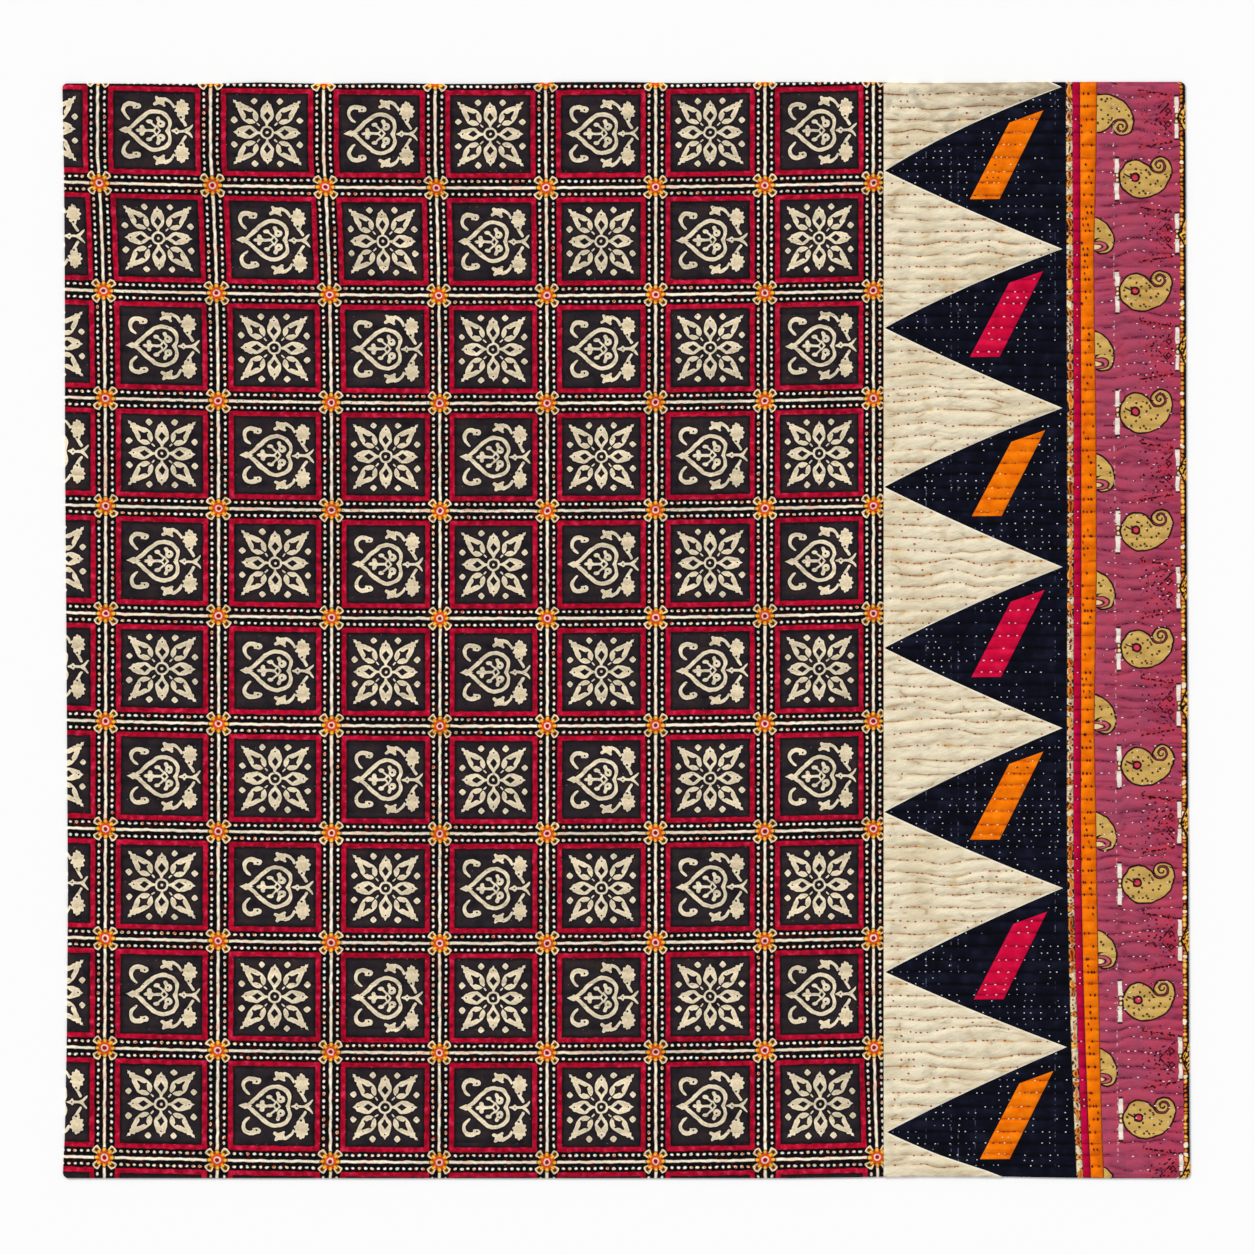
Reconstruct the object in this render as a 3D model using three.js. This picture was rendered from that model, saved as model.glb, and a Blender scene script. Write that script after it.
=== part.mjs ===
// A hand-quilted kantha cover lying flat, face up: a printed field, a border of navy teeth set into
// cream, a slanted patch on each tooth, three narrow strips and an outer border.
// Rows of running stitch cross the whole quilt and draw its layers down into low ridges.
// Millimetres: X across the quilt, Y up its face, Z up from the surface it lies on.
import * as THREE from 'three';

// Thickness of the layers of cloth: along a row of stitches, on the puff between two rows, and where
// a puff meets a seam or a hem.
const ROW_THICKNESS = 2.4;
const PUFF_THICKNESS = 4.2;
const SEAM_PUFF_THICKNESS = 3.0;

// A puff swells and sinks along its length in a long wave, which starts elsewhere on each line.
const PUFF_SWELL = 0.3;
const PUFF_SWELL_SPAN = 83;
const PUFF_SWELL_START = 2.1;

// How far in from a seam or hem the puffs reach their full thickness.
const SEAM_REACH = 12;

// How far a stitch row strays from a straight line in the middle of the field, also in a long wave.
const ROW_STRAY = 2.5;
const ROW_STRAY_SPAN = 71;
const ROW_STRAY_START = 0.35;

// Straight seam between the field and the cream, and the widths of the two narrow strips.
const FIELD_SEAM = 257;
const CHAIN_WIDTH = 6.7;
const CRIMSON_WIDTH = 7.5;

// Clear space between two cloths. The sawtooth seam runs at a slant, so its space is wider along X.
const CLOTH_GAP = 0.3;
const SAW_GAP_ALONG_X = 0.74;

// Levels down the quilt from its top hem, one at each point of the sawtooth seam and at the corners.
// halfRows counts the half rows of quilting since the level above. saw, navyEdge and borderEdge are
// seams, and left and right are hems, drawn in at the corners: all are places along X.
const LEVELS = [
  { y: 548, halfRows: 0, left: -560, saw: 424.5, navyEdge: 439, borderEdge: 470.5, right: 554 },
  { y: 543, halfRows: 1, left: -564, saw: 435.5, navyEdge: 439.2, borderEdge: 470.5, right: 558.5 },
  { y: 459, halfRows: 13, left: -562.5, saw: 258.5, navyEdge: 439.5, borderEdge: 469.5, right: 559 },
  { y: 381, halfRows: 13, left: -561.8, saw: 436, navyEdge: 439.8, borderEdge: 467.5, right: 559.2 },
  { y: 302, halfRows: 13, left: -561.5, saw: 258.5, navyEdge: 440.1, borderEdge: 468, right: 559.5 },
  { y: 222, halfRows: 13, left: -561.5, saw: 436, navyEdge: 440.5, borderEdge: 469.5, right: 559.5 },
  { y: 143, halfRows: 13, left: -561.2, saw: 258, navyEdge: 440.5, borderEdge: 470, right: 559.9 },
  { y: 63, halfRows: 13, left: -560.5, saw: 436.2, navyEdge: 440.6, borderEdge: 470.3, right: 560.3 },
  { y: -18, halfRows: 13, left: -560, saw: 258, navyEdge: 440.5, borderEdge: 469, right: 560.7 },
  { y: -98, halfRows: 13, left: -559.5, saw: 436, navyEdge: 440.3, borderEdge: 467.8, right: 561.1 },
  { y: -182, halfRows: 13, left: -559, saw: 258, navyEdge: 440.1, borderEdge: 469.5, right: 561.5 },
  { y: -258, halfRows: 13, left: -558.5, saw: 436.5, navyEdge: 440.8, borderEdge: 470.5, right: 561.9 },
  { y: -342, halfRows: 13, left: -559, saw: 259, navyEdge: 442.5, borderEdge: 472, right: 562.3 },
  { y: -417, halfRows: 13, left: -559.8, saw: 440.5, navyEdge: 444.7, borderEdge: 473.5, right: 562.5 },
  { y: -502, halfRows: 13, left: -561.5, saw: 260.5, navyEdge: 448, borderEdge: 475.5, right: 563 },
  { y: -542, halfRows: 7, left: -563.5, saw: 360.5, navyEdge: 449.9, borderEdge: 477.2, right: 563.5 },
  { y: -548, halfRows: 1, left: -559.5, saw: 375.5, navyEdge: 450.2, borderEdge: 477.5, right: 559.5 },
];

// The slanted patch, one on each navy point. Its foot, shoulder and peak are half rows below and above
// that point, and its sides are places along X.
const PATCH = {
  thickness: 1,
  footRows: 5,
  shoulderRows: 8,
  peakRows: 10,
  footLeft: 342.5,
  footRight: 372,
  shoulderLeft: 382,
  peakRight: 417.5,
  peakWidth: 1.5,
};

// Level of each patch's navy point, how far that patch is shifted along X, and its cloth.
const PATCHES = [
  { level: 2, shift: 0, cloth: 'orange' },
  { level: 4, shift: 0, cloth: 'crimson' },
  { level: 6, shift: 2, cloth: 'orange' },
  { level: 8, shift: 1.5, cloth: 'crimson' },
  { level: 10, shift: 0, cloth: 'orange' },
  { level: 12, shift: 4, cloth: 'crimson' },
  { level: 14, shift: 10, cloth: 'orange' },
];

// Columns of the grid across each panel.
const FIELD_COLUMNS = 9;
const PANEL_COLUMNS = 4;
const STRIP_COLUMNS = 2;
const PATCH_COLUMNS = 2;

function cotton(colour) {
  return new THREE.MeshStandardMaterial({ color: colour, roughness: 0.9, metalness: 0 });
}

const CLOTHS = {
  print: cotton(0x2a2326),
  cream: cotton(0xded3b8),
  navy: cotton(0x141626),
  chain: cotton(0xd9b45a),
  crimson: cotton(0xc8063f),
  orange: cotton(0xf38205),
  pink: cotton(0xac4264),
};

// One line across the quilt for each half row. Even lines lie in a row of stitches, odd ones on the
// puff between two rows.
function quiltingLines() {
  const lines = [LEVELS[0]];
  for (let i = 1; i < LEVELS.length; i += 1) {
    const above = LEVELS[i - 1];
    const below = LEVELS[i];
    for (let step = 1; step <= below.halfRows; step += 1) {
      const line = {};
      for (const column of Object.keys(below)) {
        line[column] = THREE.MathUtils.lerp(above[column], below[column], step / below.halfRows);
      }
      lines.push(line);
    }
  }
  return lines;
}

const LINES = quiltingLines();

// Number of the line at each level.
const LEVEL_LINES = LEVELS.map((level, i) => {
  return LEVELS.slice(0, i + 1).reduce((sum, row) => sum + row.halfRows, 0);
});

// Each of two neighbours stays back from their seam by half of the gap.
const HALF_GAP = CLOTH_GAP / 2;
const HALF_SAW_GAP = SAW_GAP_ALONG_X / 2;

// The panels from left to right: where each one's two sides lie on a line, and how far its inner
// stretches of row may stray.
const FIELD = {
  name: 'field',
  cloth: 'print',
  columns: FIELD_COLUMNS,
  stray: ROW_STRAY,
  left: (line) => line.left,
  right: () => FIELD_SEAM - HALF_GAP,
};

const CREAM = {
  name: 'cream_panel',
  cloth: 'cream',
  columns: PANEL_COLUMNS,
  stray: 0,
  left: () => FIELD_SEAM + HALF_GAP,
  right: (line) => line.saw - HALF_SAW_GAP,
};

const NAVY = {
  name: 'navy_teeth',
  cloth: 'navy',
  columns: PANEL_COLUMNS,
  stray: 0,
  left: (line) => line.saw + HALF_SAW_GAP,
  right: (line) => line.navyEdge - HALF_GAP,
};

const CHAIN = {
  name: 'chain_strip',
  cloth: 'chain',
  columns: STRIP_COLUMNS,
  stray: 0,
  left: (line) => line.navyEdge + HALF_GAP,
  right: (line) => line.navyEdge + CHAIN_WIDTH - HALF_GAP,
};

const CRIMSON = {
  name: 'crimson_strip',
  cloth: 'crimson',
  columns: STRIP_COLUMNS,
  stray: 0,
  left: (line) => line.navyEdge + CHAIN_WIDTH + HALF_GAP,
  right: (line) => line.navyEdge + CHAIN_WIDTH + CRIMSON_WIDTH - HALF_GAP,
};

const ORANGE = {
  name: 'orange_strip',
  cloth: 'orange',
  columns: STRIP_COLUMNS,
  stray: 0,
  left: (line) => line.navyEdge + CHAIN_WIDTH + CRIMSON_WIDTH + HALF_GAP,
  right: (line) => line.borderEdge - HALF_GAP,
};

const BORDER = {
  name: 'paisley_border',
  cloth: 'pink',
  columns: PANEL_COLUMNS,
  stray: 0,
  left: (line) => line.borderEdge + HALF_GAP,
  right: (line) => line.right,
};

// Height of the quilt's face on a line: low along a row of stitches, and on a puff high away from the
// panel's sides and a little uneven along its length.
function faceHeight(panel, number, x) {
  if (number % 2 === 0) {
    return ROW_THICKNESS;
  }
  const line = LINES[number];
  const fromSide = Math.min(x - panel.left(line), panel.right(line) - x);
  const fullness = Math.min(fromSide / SEAM_REACH, 1);
  const swell = PUFF_SWELL * Math.sin(x / PUFF_SWELL_SPAN + PUFF_SWELL_START * number) * fullness;
  return THREE.MathUtils.lerp(SEAM_PUFF_THICKNESS, PUFF_THICKNESS, fullness) + swell;
}

// Places across a panel as shares of its width, closer together near its sides.
function columnShare(column, columns) {
  return 0.5 - 0.5 * Math.cos((Math.PI * column) / columns);
}

// One point of a panel's face. A row strays most in the middle of a panel and not at its hems.
function facePoint(panel, number, column) {
  const line = LINES[number];
  const share = columnShare(column, panel.columns);
  const x = THREE.MathUtils.lerp(panel.left(line), panel.right(line), share);
  const down = number / (LINES.length - 1);
  const reach = panel.stray * Math.sin(Math.PI * share) * Math.sin(Math.PI * down);
  const y = line.y + reach * Math.sin(x / ROW_STRAY_SPAN + ROW_STRAY_START * number);
  return new THREE.Vector3(x, y, faceHeight(panel, number, x));
}

// Triangles of a grid of points seen from above, with the rows going down and the columns right.
function gridTriangles(rows, columns, pointAt) {
  const triangles = [];
  for (let row = 0; row < rows; row += 1) {
    for (let column = 0; column < columns; column += 1) {
      const upLeft = pointAt(row, column);
      const upRight = pointAt(row, column + 1);
      const downLeft = pointAt(row + 1, column);
      const downRight = pointAt(row + 1, column + 1);
      triangles.push([upLeft, downLeft, downRight], [upLeft, downRight, upRight]);
    }
  }
  return triangles;
}

// Triangles of one flat upright wall. Its foot and its rim run from left to right as seen from outside.
function wallTriangles(points, foot, rim) {
  const outline = [...foot, ...[...rim].reverse()];
  const start = points[foot[0]];
  const contour = outline.map((index) => {
    const along = Math.hypot(points[index].x - start.x, points[index].y - start.y);
    return new THREE.Vector2(along, points[index].z);
  });
  const faces = THREE.ShapeUtils.triangulateShape(contour, []);
  return faces.map((face) => face.map((corner) => outline[corner]));
}

function solidFrom(points, triangles) {
  const geometry = new THREE.BufferGeometry();
  geometry.setFromPoints(points);
  geometry.setIndex(triangles.flat());
  geometry.computeVertexNormals();
  return geometry;
}

function range(first, last) {
  const step = first <= last ? 1 : -1;
  return Array.from({ length: Math.abs(last - first) + 1 }, (_, i) => first + i * step);
}

// A panel: its ridged face, a flat underside with a point at each level, and flat walls between levels.
function panelGeometry(panel) {
  const lastLine = LINES.length - 1;
  const points = [];
  for (let number = 0; number <= lastLine; number += 1) {
    for (let column = 0; column <= panel.columns; column += 1) {
      points.push(facePoint(panel, number, column));
    }
  }
  const faceAt = (number, column) => number * (panel.columns + 1) + column;
  const footStart = points.length;
  for (const level of LEVELS) {
    points.push(new THREE.Vector3(panel.left(level), level.y, 0));
    points.push(new THREE.Vector3(panel.right(level), level.y, 0));
  }
  const footLeft = (level) => footStart + 2 * level;
  const footRight = (level) => footStart + 2 * level + 1;
  const lastLevel = LEVELS.length - 1;

  const triangles = gridTriangles(lastLine, panel.columns, faceAt);
  for (let level = 0; level < lastLevel; level += 1) {
    const numbers = range(LEVEL_LINES[level], LEVEL_LINES[level + 1]);
    const leftRim = numbers.map((number) => faceAt(number, 0));
    const rightRim = numbers.map((number) => faceAt(number, panel.columns)).reverse();
    const leftFoot = [footLeft(level), footLeft(level + 1)];
    const rightFoot = [footRight(level + 1), footRight(level)];
    triangles.push(...wallTriangles(points, leftFoot, leftRim));
    triangles.push(...wallTriangles(points, rightFoot, rightRim));
    triangles.push([footLeft(level), footRight(level), footRight(level + 1)]);
    triangles.push([footLeft(level), footRight(level + 1), footLeft(level + 1)]);
  }
  const topRim = range(panel.columns, 0).map((column) => faceAt(0, column));
  const bottomRim = range(0, panel.columns).map((column) => faceAt(lastLine, column));
  triangles.push(...wallTriangles(points, [footRight(0), footLeft(0)], topRim));
  triangles.push(...wallTriangles(points, [footLeft(lastLevel), footRight(lastLevel)], bottomRim));
  return solidFrom(points, triangles);
}

// The two sides of a patch on one line: straight up from the foot, then in along the slanted top edge.
function patchSides(patch, number) {
  const point = LEVEL_LINES[patch.level];
  const foot = point + PATCH.footRows;
  const shoulder = point - PATCH.shoulderRows;
  const peak = point - PATCH.peakRows;
  const right = THREE.MathUtils.mapLinear(number, foot, peak, PATCH.footRight, PATCH.peakRight);
  const peakLeft = PATCH.peakRight - PATCH.peakWidth;
  const left = number >= shoulder
    ? THREE.MathUtils.mapLinear(number, foot, shoulder, PATCH.footLeft, PATCH.shoulderLeft)
    : THREE.MathUtils.mapLinear(number, shoulder, peak, PATCH.shoulderLeft, peakLeft);
  return { left: left + patch.shift, right: right + patch.shift };
}

// A patch: a thin sheet that lies on the ridges of the navy cloth.
function patchGeometry(patch) {
  const point = LEVEL_LINES[patch.level];
  const numbers = range(point - PATCH.peakRows, point + PATCH.footRows);
  const rows = numbers.length - 1;
  const under = [];
  for (const number of numbers) {
    const sides = patchSides(patch, number);
    for (let column = 0; column <= PATCH_COLUMNS; column += 1) {
      const x = THREE.MathUtils.lerp(sides.left, sides.right, column / PATCH_COLUMNS);
      const z = faceHeight(NAVY, number, x) + CLOTH_GAP;
      under.push(new THREE.Vector3(x, LINES[number].y, z));
    }
  }
  const upper = under.map((p) => new THREE.Vector3(p.x, p.y, p.z + PATCH.thickness));
  const points = [...upper, ...under];
  const upperAt = (row, column) => row * (PATCH_COLUMNS + 1) + column;
  const underAt = (row, column) => upper.length + upperAt(row, column);

  const triangles = gridTriangles(rows, PATCH_COLUMNS, upperAt);
  for (const face of gridTriangles(rows, PATCH_COLUMNS, underAt)) {
    triangles.push([...face].reverse());
  }
  const addEdge = (upperLeft, upperRight, underLeft, underRight) => {
    triangles.push([underLeft, underRight, upperRight], [underLeft, upperRight, upperLeft]);
  };
  for (let row = 0; row < rows; row += 1) {
    const end = PATCH_COLUMNS;
    addEdge(upperAt(row, 0), upperAt(row + 1, 0), underAt(row, 0), underAt(row + 1, 0));
    addEdge(upperAt(row + 1, end), upperAt(row, end), underAt(row + 1, end), underAt(row, end));
  }
  for (let column = 0; column < PATCH_COLUMNS; column += 1) {
    const next = column + 1;
    addEdge(upperAt(0, next), upperAt(0, column), underAt(0, next), underAt(0, column));
    addEdge(upperAt(rows, column), upperAt(rows, next), underAt(rows, column), underAt(rows, next));
  }
  return solidFrom(points, triangles);
}

function piece(name, geometry, cloth) {
  const mesh = new THREE.Mesh(geometry, CLOTHS[cloth]);
  mesh.name = name;
  return mesh;
}

const quilt = new THREE.Group();
for (const panel of [FIELD, CREAM, NAVY, CHAIN, CRIMSON, ORANGE, BORDER]) {
  quilt.add(piece(panel.name, panelGeometry(panel), panel.cloth));
}
PATCHES.forEach((patch, i) => {
  quilt.add(piece(`patch_${i + 1}`, patchGeometry(patch), patch.cloth));
});

export default quilt;
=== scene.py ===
import math

import bmesh
import bpy
import numpy as np
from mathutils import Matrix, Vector


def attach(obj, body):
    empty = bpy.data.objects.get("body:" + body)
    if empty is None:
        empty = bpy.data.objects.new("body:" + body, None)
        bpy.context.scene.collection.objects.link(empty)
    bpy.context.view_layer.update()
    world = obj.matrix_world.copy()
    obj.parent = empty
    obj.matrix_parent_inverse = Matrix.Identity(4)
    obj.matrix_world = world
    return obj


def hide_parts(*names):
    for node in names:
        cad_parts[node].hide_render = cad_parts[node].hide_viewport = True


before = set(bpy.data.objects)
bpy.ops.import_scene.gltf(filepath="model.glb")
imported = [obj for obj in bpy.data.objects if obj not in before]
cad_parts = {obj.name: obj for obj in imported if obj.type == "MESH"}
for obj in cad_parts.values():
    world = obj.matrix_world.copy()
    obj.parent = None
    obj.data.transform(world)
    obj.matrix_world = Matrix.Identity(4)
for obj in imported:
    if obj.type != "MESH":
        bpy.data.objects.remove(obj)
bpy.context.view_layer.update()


# The quilt lies face up on a plain pale floor and is seen from straight above. A long lens far above keeps
# its edges as straight as they are, and a low soft light from the upper left shows the rows of stitches.
MM = 0.001
VIEW_WIDTH = 1254 * MM
VIEW_CENTRE = (0.5 * MM, 3 * MM)
CAMERA_HEIGHT = 8.0
CAMERA_SIGHT = 100.0
SENSOR_WIDTH = 36.0
FLOOR_SIDE = 24.0
FLOOR_DROP = 0.1 * MM
FLOOR_SHADE = 0.965
FLOOR_ROUGHNESS = 0.9
FLOOR_SHINE = 0.05
SKY_STRENGTH = 0.60
LIGHT_FROM = (-0.85, 1.0, 0.95)
LIGHT_STRENGTH = 2.2
LIGHT_SPREAD = math.radians(24)

scene = bpy.context.scene
scene.view_settings.view_transform = "Standard"

view = bpy.data.cameras.new("view_from_above")
view.sensor_width = SENSOR_WIDTH
view.lens = SENSOR_WIDTH * CAMERA_HEIGHT / VIEW_WIDTH
view.clip_end = CAMERA_SIGHT
camera = bpy.data.objects.new("view_from_above", view)
camera.location = (*VIEW_CENTRE, CAMERA_HEIGHT)
scene.collection.objects.link(camera)
scene.camera = camera

light = bpy.data.lights.new("studio_light", "SUN")
light.energy = LIGHT_STRENGTH
light.angle = LIGHT_SPREAD
studio = bpy.data.objects.new("studio_light", light)
studio.rotation_euler = (-Vector(LIGHT_FROM)).to_track_quat("-Z", "Y").to_euler()
scene.collection.objects.link(studio)

sky = bpy.data.worlds.new("studio_white")
sky.use_nodes = True
sky_light = sky.node_tree.nodes["Background"].inputs
sky_light["Color"].default_value = (1, 1, 1, 1)
sky_light["Strength"].default_value = SKY_STRENGTH
scene.world = sky

floor_shape = bmesh.new()
bmesh.ops.create_grid(floor_shape, x_segments=1, y_segments=1, size=FLOOR_SIDE / 2)
bmesh.ops.translate(floor_shape, verts=floor_shape.verts, vec=(0, 0, -FLOOR_DROP))
floor_mesh = bpy.data.meshes.new("floor")
floor_shape.to_mesh(floor_mesh)
floor_shape.free()
floor_paint = bpy.data.materials.new("pale_floor")
floor_paint.use_nodes = True
floor_look = floor_paint.node_tree.nodes["Principled BSDF"].inputs
floor_look["Base Color"].default_value = (FLOOR_SHADE, FLOOR_SHADE, FLOOR_SHADE, 1)
floor_look["Roughness"].default_value = FLOOR_ROUGHNESS
floor_look["Specular IOR Level"].default_value = FLOOR_SHINE
floor_mesh.materials.append(floor_paint)
floor = bpy.data.objects.new("floor", floor_mesh)
scene.collection.objects.link(floor)


# The field is the large cloth of the quilt: dark washed cotton, block printed with a check of squares. It is
# quilted to the layers below by rows of running stitch, and the cloth puffs up softly between the rows.
QUILT_LENGTH = 1.096
HALF_ROWS = [1] + 13 * [13] + [7, 1]
ROW_PITCH = 12.3
FOOT_LEVEL = 0.2 * MM
TROUGH = 2.3 * MM
PUFF = 1.7 * MM
PUFF_SHARPNESS = 0.8
PUFF_SWELL = 0.35
SWELL_SPAN = 42 * MM
SWELL_LINES = 1.6
STRAY = 1.3 * MM
STRAY_SPAN = 60 * MM
STRAY_FADE = 24 * MM
SCALLOP = 0.22
SCALLOPS = 3
PUCKER = 0.22 * MM
PUCKER_TURN = 3
CREASE = 0.5 * MM
CREASE_SPAN = 32 * MM
CREASE_LINES = 1.15
CREASE_SHARPNESS = 3
CREASE_LEVEL = 0.3
STITCH_PITCH = 7.6 * MM
SEAM_HEIGHT = 1.5 * MM
SEAM_REACH = 3.0 * MM
POINT_BOW = 4.5 * MM
FALL_BOW = 8.5 * MM
FALL_LINES = 60
AREA_STEPS = 20
SWELLS = 64
FIRST_SWELL = 40
STRAY_SEED = 5
SCALLOP_SEED = 7
SWELL_SEED = 11
CREASE_SEED = 17

# The hems dip in a little here and there: places across the quilt and depths, in millimetres.
HEM_REACH = 4
TOP_DIPS = (
    (-564, 1.5), (-420, 2.0), (-366, 0.4), (-306, 1.8), (-246, 1.0), (-186, 2.0), (-126, 1.8), (-66, 0.2),
    (-6, 0), (54, 1.2), (114, 0.4), (234, 0), (294, 1.2), (354, 1.0), (414, 0.2), (474, 0))
LOW_DIPS = ((160, 0), (230, 0.8), (294, 2.4), (354, 2.0), (414, 0.8), (474, 0))


def soft_noise(along, down, seed):
    """A smooth random swell between -1 and 1, whose swells are one unit long and one unit deep."""
    table = np.random.default_rng(seed).uniform(-1, 1, (SWELLS, SWELLS))
    along = along + FIRST_SWELL
    column = np.floor(along).astype(int)
    row = np.floor(down).astype(int)
    right, lower = (share * share * (3 - 2 * share) for share in (along - column, down - row))
    swells = []
    for depth in (row % SWELLS, (row + 1) % SWELLS):
        left_swell = table[column % SWELLS, depth]
        right_swell = table[(column + 1) % SWELLS, depth]
        swells.append(left_swell * (1 - right) + right_swell * right)
    return swells[0] * (1 - lower) + swells[1] * lower


class Cloth:
    """One quilted cloth: where its sides run on its solid, and how its face rises between its rows."""

    lines = sum(HALF_ROWS)
    level_lines = np.concatenate(([0], np.cumsum(HALF_ROWS)))

    def __init__(
            self, node, seam=SEAM_HEIGHT, seam_slope=1.0, puff=1.0, swell=PUFF_SWELL, swell_span=SWELL_SPAN,
            crease=1.0, stray=STRAY, stray_span=STRAY_SPAN, stray_rows=1.0, outer=None, pointed=None):
        foot = {}
        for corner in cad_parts[node].data.vertices:
            if corner.co.z < FOOT_LEVEL:
                foot.setdefault(round(corner.co.y, 4), []).append(corner.co.x)
        self.levels = np.array(sorted(foot, reverse=True))
        self.left = np.array([min(foot[level]) for level in self.levels])
        self.right = np.array([max(foot[level]) for level in self.levels])
        self.seam = seam
        self.seam_slope = seam_slope
        self.puff = puff
        self.swell = swell
        self.swell_span = swell_span
        self.crease = crease
        self.most_stray = stray
        self.stray_span = stray_span
        self.stray_rows = stray_rows
        self.outer = outer
        self.pointed = pointed

    def flat_area(self):
        line = np.linspace(0, self.lines, AREA_STEPS * self.lines + 1)
        left, right = self.sides(line)
        widths = right - left
        return float(np.sum((widths[1:] + widths[:-1]) / 2 * -np.diff(self.row_height(line))))

    def row_height(self, line):
        return np.interp(line, self.level_lines, self.levels)

    def point_bow(self, line):
        """How far the sides of the sewn points bow to the left, more so where they fall back near the top."""
        number = np.clip(np.searchsorted(self.level_lines, line, side="right") - 1, 1, len(HALF_ROWS) - 2)
        share = np.clip((line - self.level_lines[number]) / np.take(HALF_ROWS, number), 0, 1)
        most = POINT_BOW + np.where(number % 2 == 1, FALL_BOW * np.exp(-line / FALL_LINES), 0)
        return 4 * share * (1 - share) * most

    def sides(self, line):
        """The left and right side at a line, bowed along sewn points and rounded at the quilt's corners."""
        left = np.interp(line, self.level_lines, self.left)
        right = np.interp(line, self.level_lines, self.right)
        if self.pointed == "left":
            left = left - self.point_bow(line)
        if self.pointed == "right":
            right = right - self.point_bow(line)
        for hem, inner, near in ((0, 1, 1 - line), (-1, -2, line - (self.lines - 1))):
            turn = np.clip(near, 0, 1)
            bow = turn - (1 - np.sqrt(1 - turn * turn))
            if self.outer == "left":
                left = left - (self.left[hem] - self.left[inner]) * bow
            if self.outer == "right":
                right = right - (self.right[hem] - self.right[inner]) * bow
        return left, right

    def side_distance(self, x, line):
        left, right = self.sides(line)
        return np.maximum(np.minimum(x - left, right - x), 0) * self.seam_slope

    def stray(self, x, line):
        """How far a row of stitches wanders up or down, and how far the hems dip in."""
        fade = np.clip(self.side_distance(x, line) / STRAY_FADE, 0, 1)
        fade = fade * np.clip(np.minimum(line, self.lines - line) / 2, 0, 1)
        rows = line / (2 * self.stray_rows)
        swell = soft_noise(x / self.stray_span, rows, STRAY_SEED)
        scallop = soft_noise(SCALLOPS * x / self.stray_span, rows, SCALLOP_SEED)
        stray = self.most_stray * fade * (swell + SCALLOP * scallop)
        for dips, inward, near in ((TOP_DIPS, -MM, line), (LOW_DIPS, MM, self.lines - line)):
            dip = np.interp(x / MM, *np.transpose(dips)) * inward
            stray = stray + dip * np.clip(1 - near / HEM_REACH, 0, 1)
        return stray

    def line_at(self, x, y):
        line = np.interp(-y, -self.levels, self.level_lines)
        half_row = (self.levels[0] - self.levels[-1]) / self.lines
        return line + self.stray(x, line) / half_row

    def fold(self, x, line):
        """A swell that passes through 0 along the creases of the cloth."""
        return soft_noise(x / CREASE_SPAN, line / CREASE_LINES, CREASE_SEED)

    def height(self, x, line):
        """The height of the face: low along the stitches, puffed between them, low at seams and hems."""
        ridge = np.abs(np.sin(np.pi / 2 * line)) ** PUFF_SHARPNESS
        swell = 1 + self.swell * soft_noise(x / self.swell_span, line / SWELL_LINES, SWELL_SEED)
        pucker = np.sin(2 * np.pi * x / STITCH_PITCH + PUCKER_TURN * np.round(line / 2))
        crease = (1 - np.abs(self.fold(x, line))) ** CREASE_SHARPNESS - CREASE_LEVEL
        height = TROUGH + PUFF * self.puff * ridge * swell + PUCKER * pucker * (1 - ridge)
        height = height + CREASE * self.crease * crease
        hem = np.minimum(line, self.lines - line) * (self.levels[0] - self.levels[-1]) / self.lines
        near = np.minimum(self.side_distance(x, line), hem)
        return self.seam + (height - self.seam) * (1 - np.exp(-near / SEAM_REACH))


LINES_IN_ROW = 6
EDGE_ANGLE = math.radians(55)
BAKE_RIM = 0.008
BAKE_FOOT = 0.015
BAKE_FACE = 0.02


def unit_mesh(name, shape):
    """Makes a unit shape a mesh. Returns it with each vertex's share across and down, and its level."""
    bmesh.ops.recalc_face_normals(shape, faces=shape.faces)
    mesh = bpy.data.meshes.new(name)
    shape.to_mesh(mesh)
    shape.free()
    places = np.empty(3 * len(mesh.vertices))
    mesh.vertices.foreach_get("co", places)
    x, y, level = places.reshape(-1, 3).T
    return mesh, x + 0.5, 0.5 - y, level


def flat_sheet(name, columns, lines):
    """A closed unit sheet: a grid for the face, its rim turned down for the edge, one face for the foot."""
    shape = bmesh.new()
    bmesh.ops.create_grid(shape, x_segments=columns, y_segments=lines, size=0.5)
    rim = [edge for edge in shape.edges if edge.is_boundary]
    turned = bmesh.ops.extrude_edge_only(shape, edges=rim)["geom"]
    foot = [part for part in turned if isinstance(part, bmesh.types.BMVert)]
    bmesh.ops.translate(shape, verts=foot, vec=(0, 0, -1))
    open_edges = [edge for edge in shape.edges if edge.is_boundary]
    bmesh.ops.holes_fill(shape, edges=open_edges, sides=0)
    return unit_mesh(name, shape)


def write_map(mesh, name, across, up):
    """A UV map from two numbers at each vertex."""
    corners = np.empty(len(mesh.loops), dtype=int)
    mesh.loops.foreach_get("vertex_index", corners)
    layer = mesh.uv_layers.new(name=name)
    layer.data.foreach_set("uv", np.column_stack((across[corners], up[corners])).ravel())
    return layer


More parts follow.
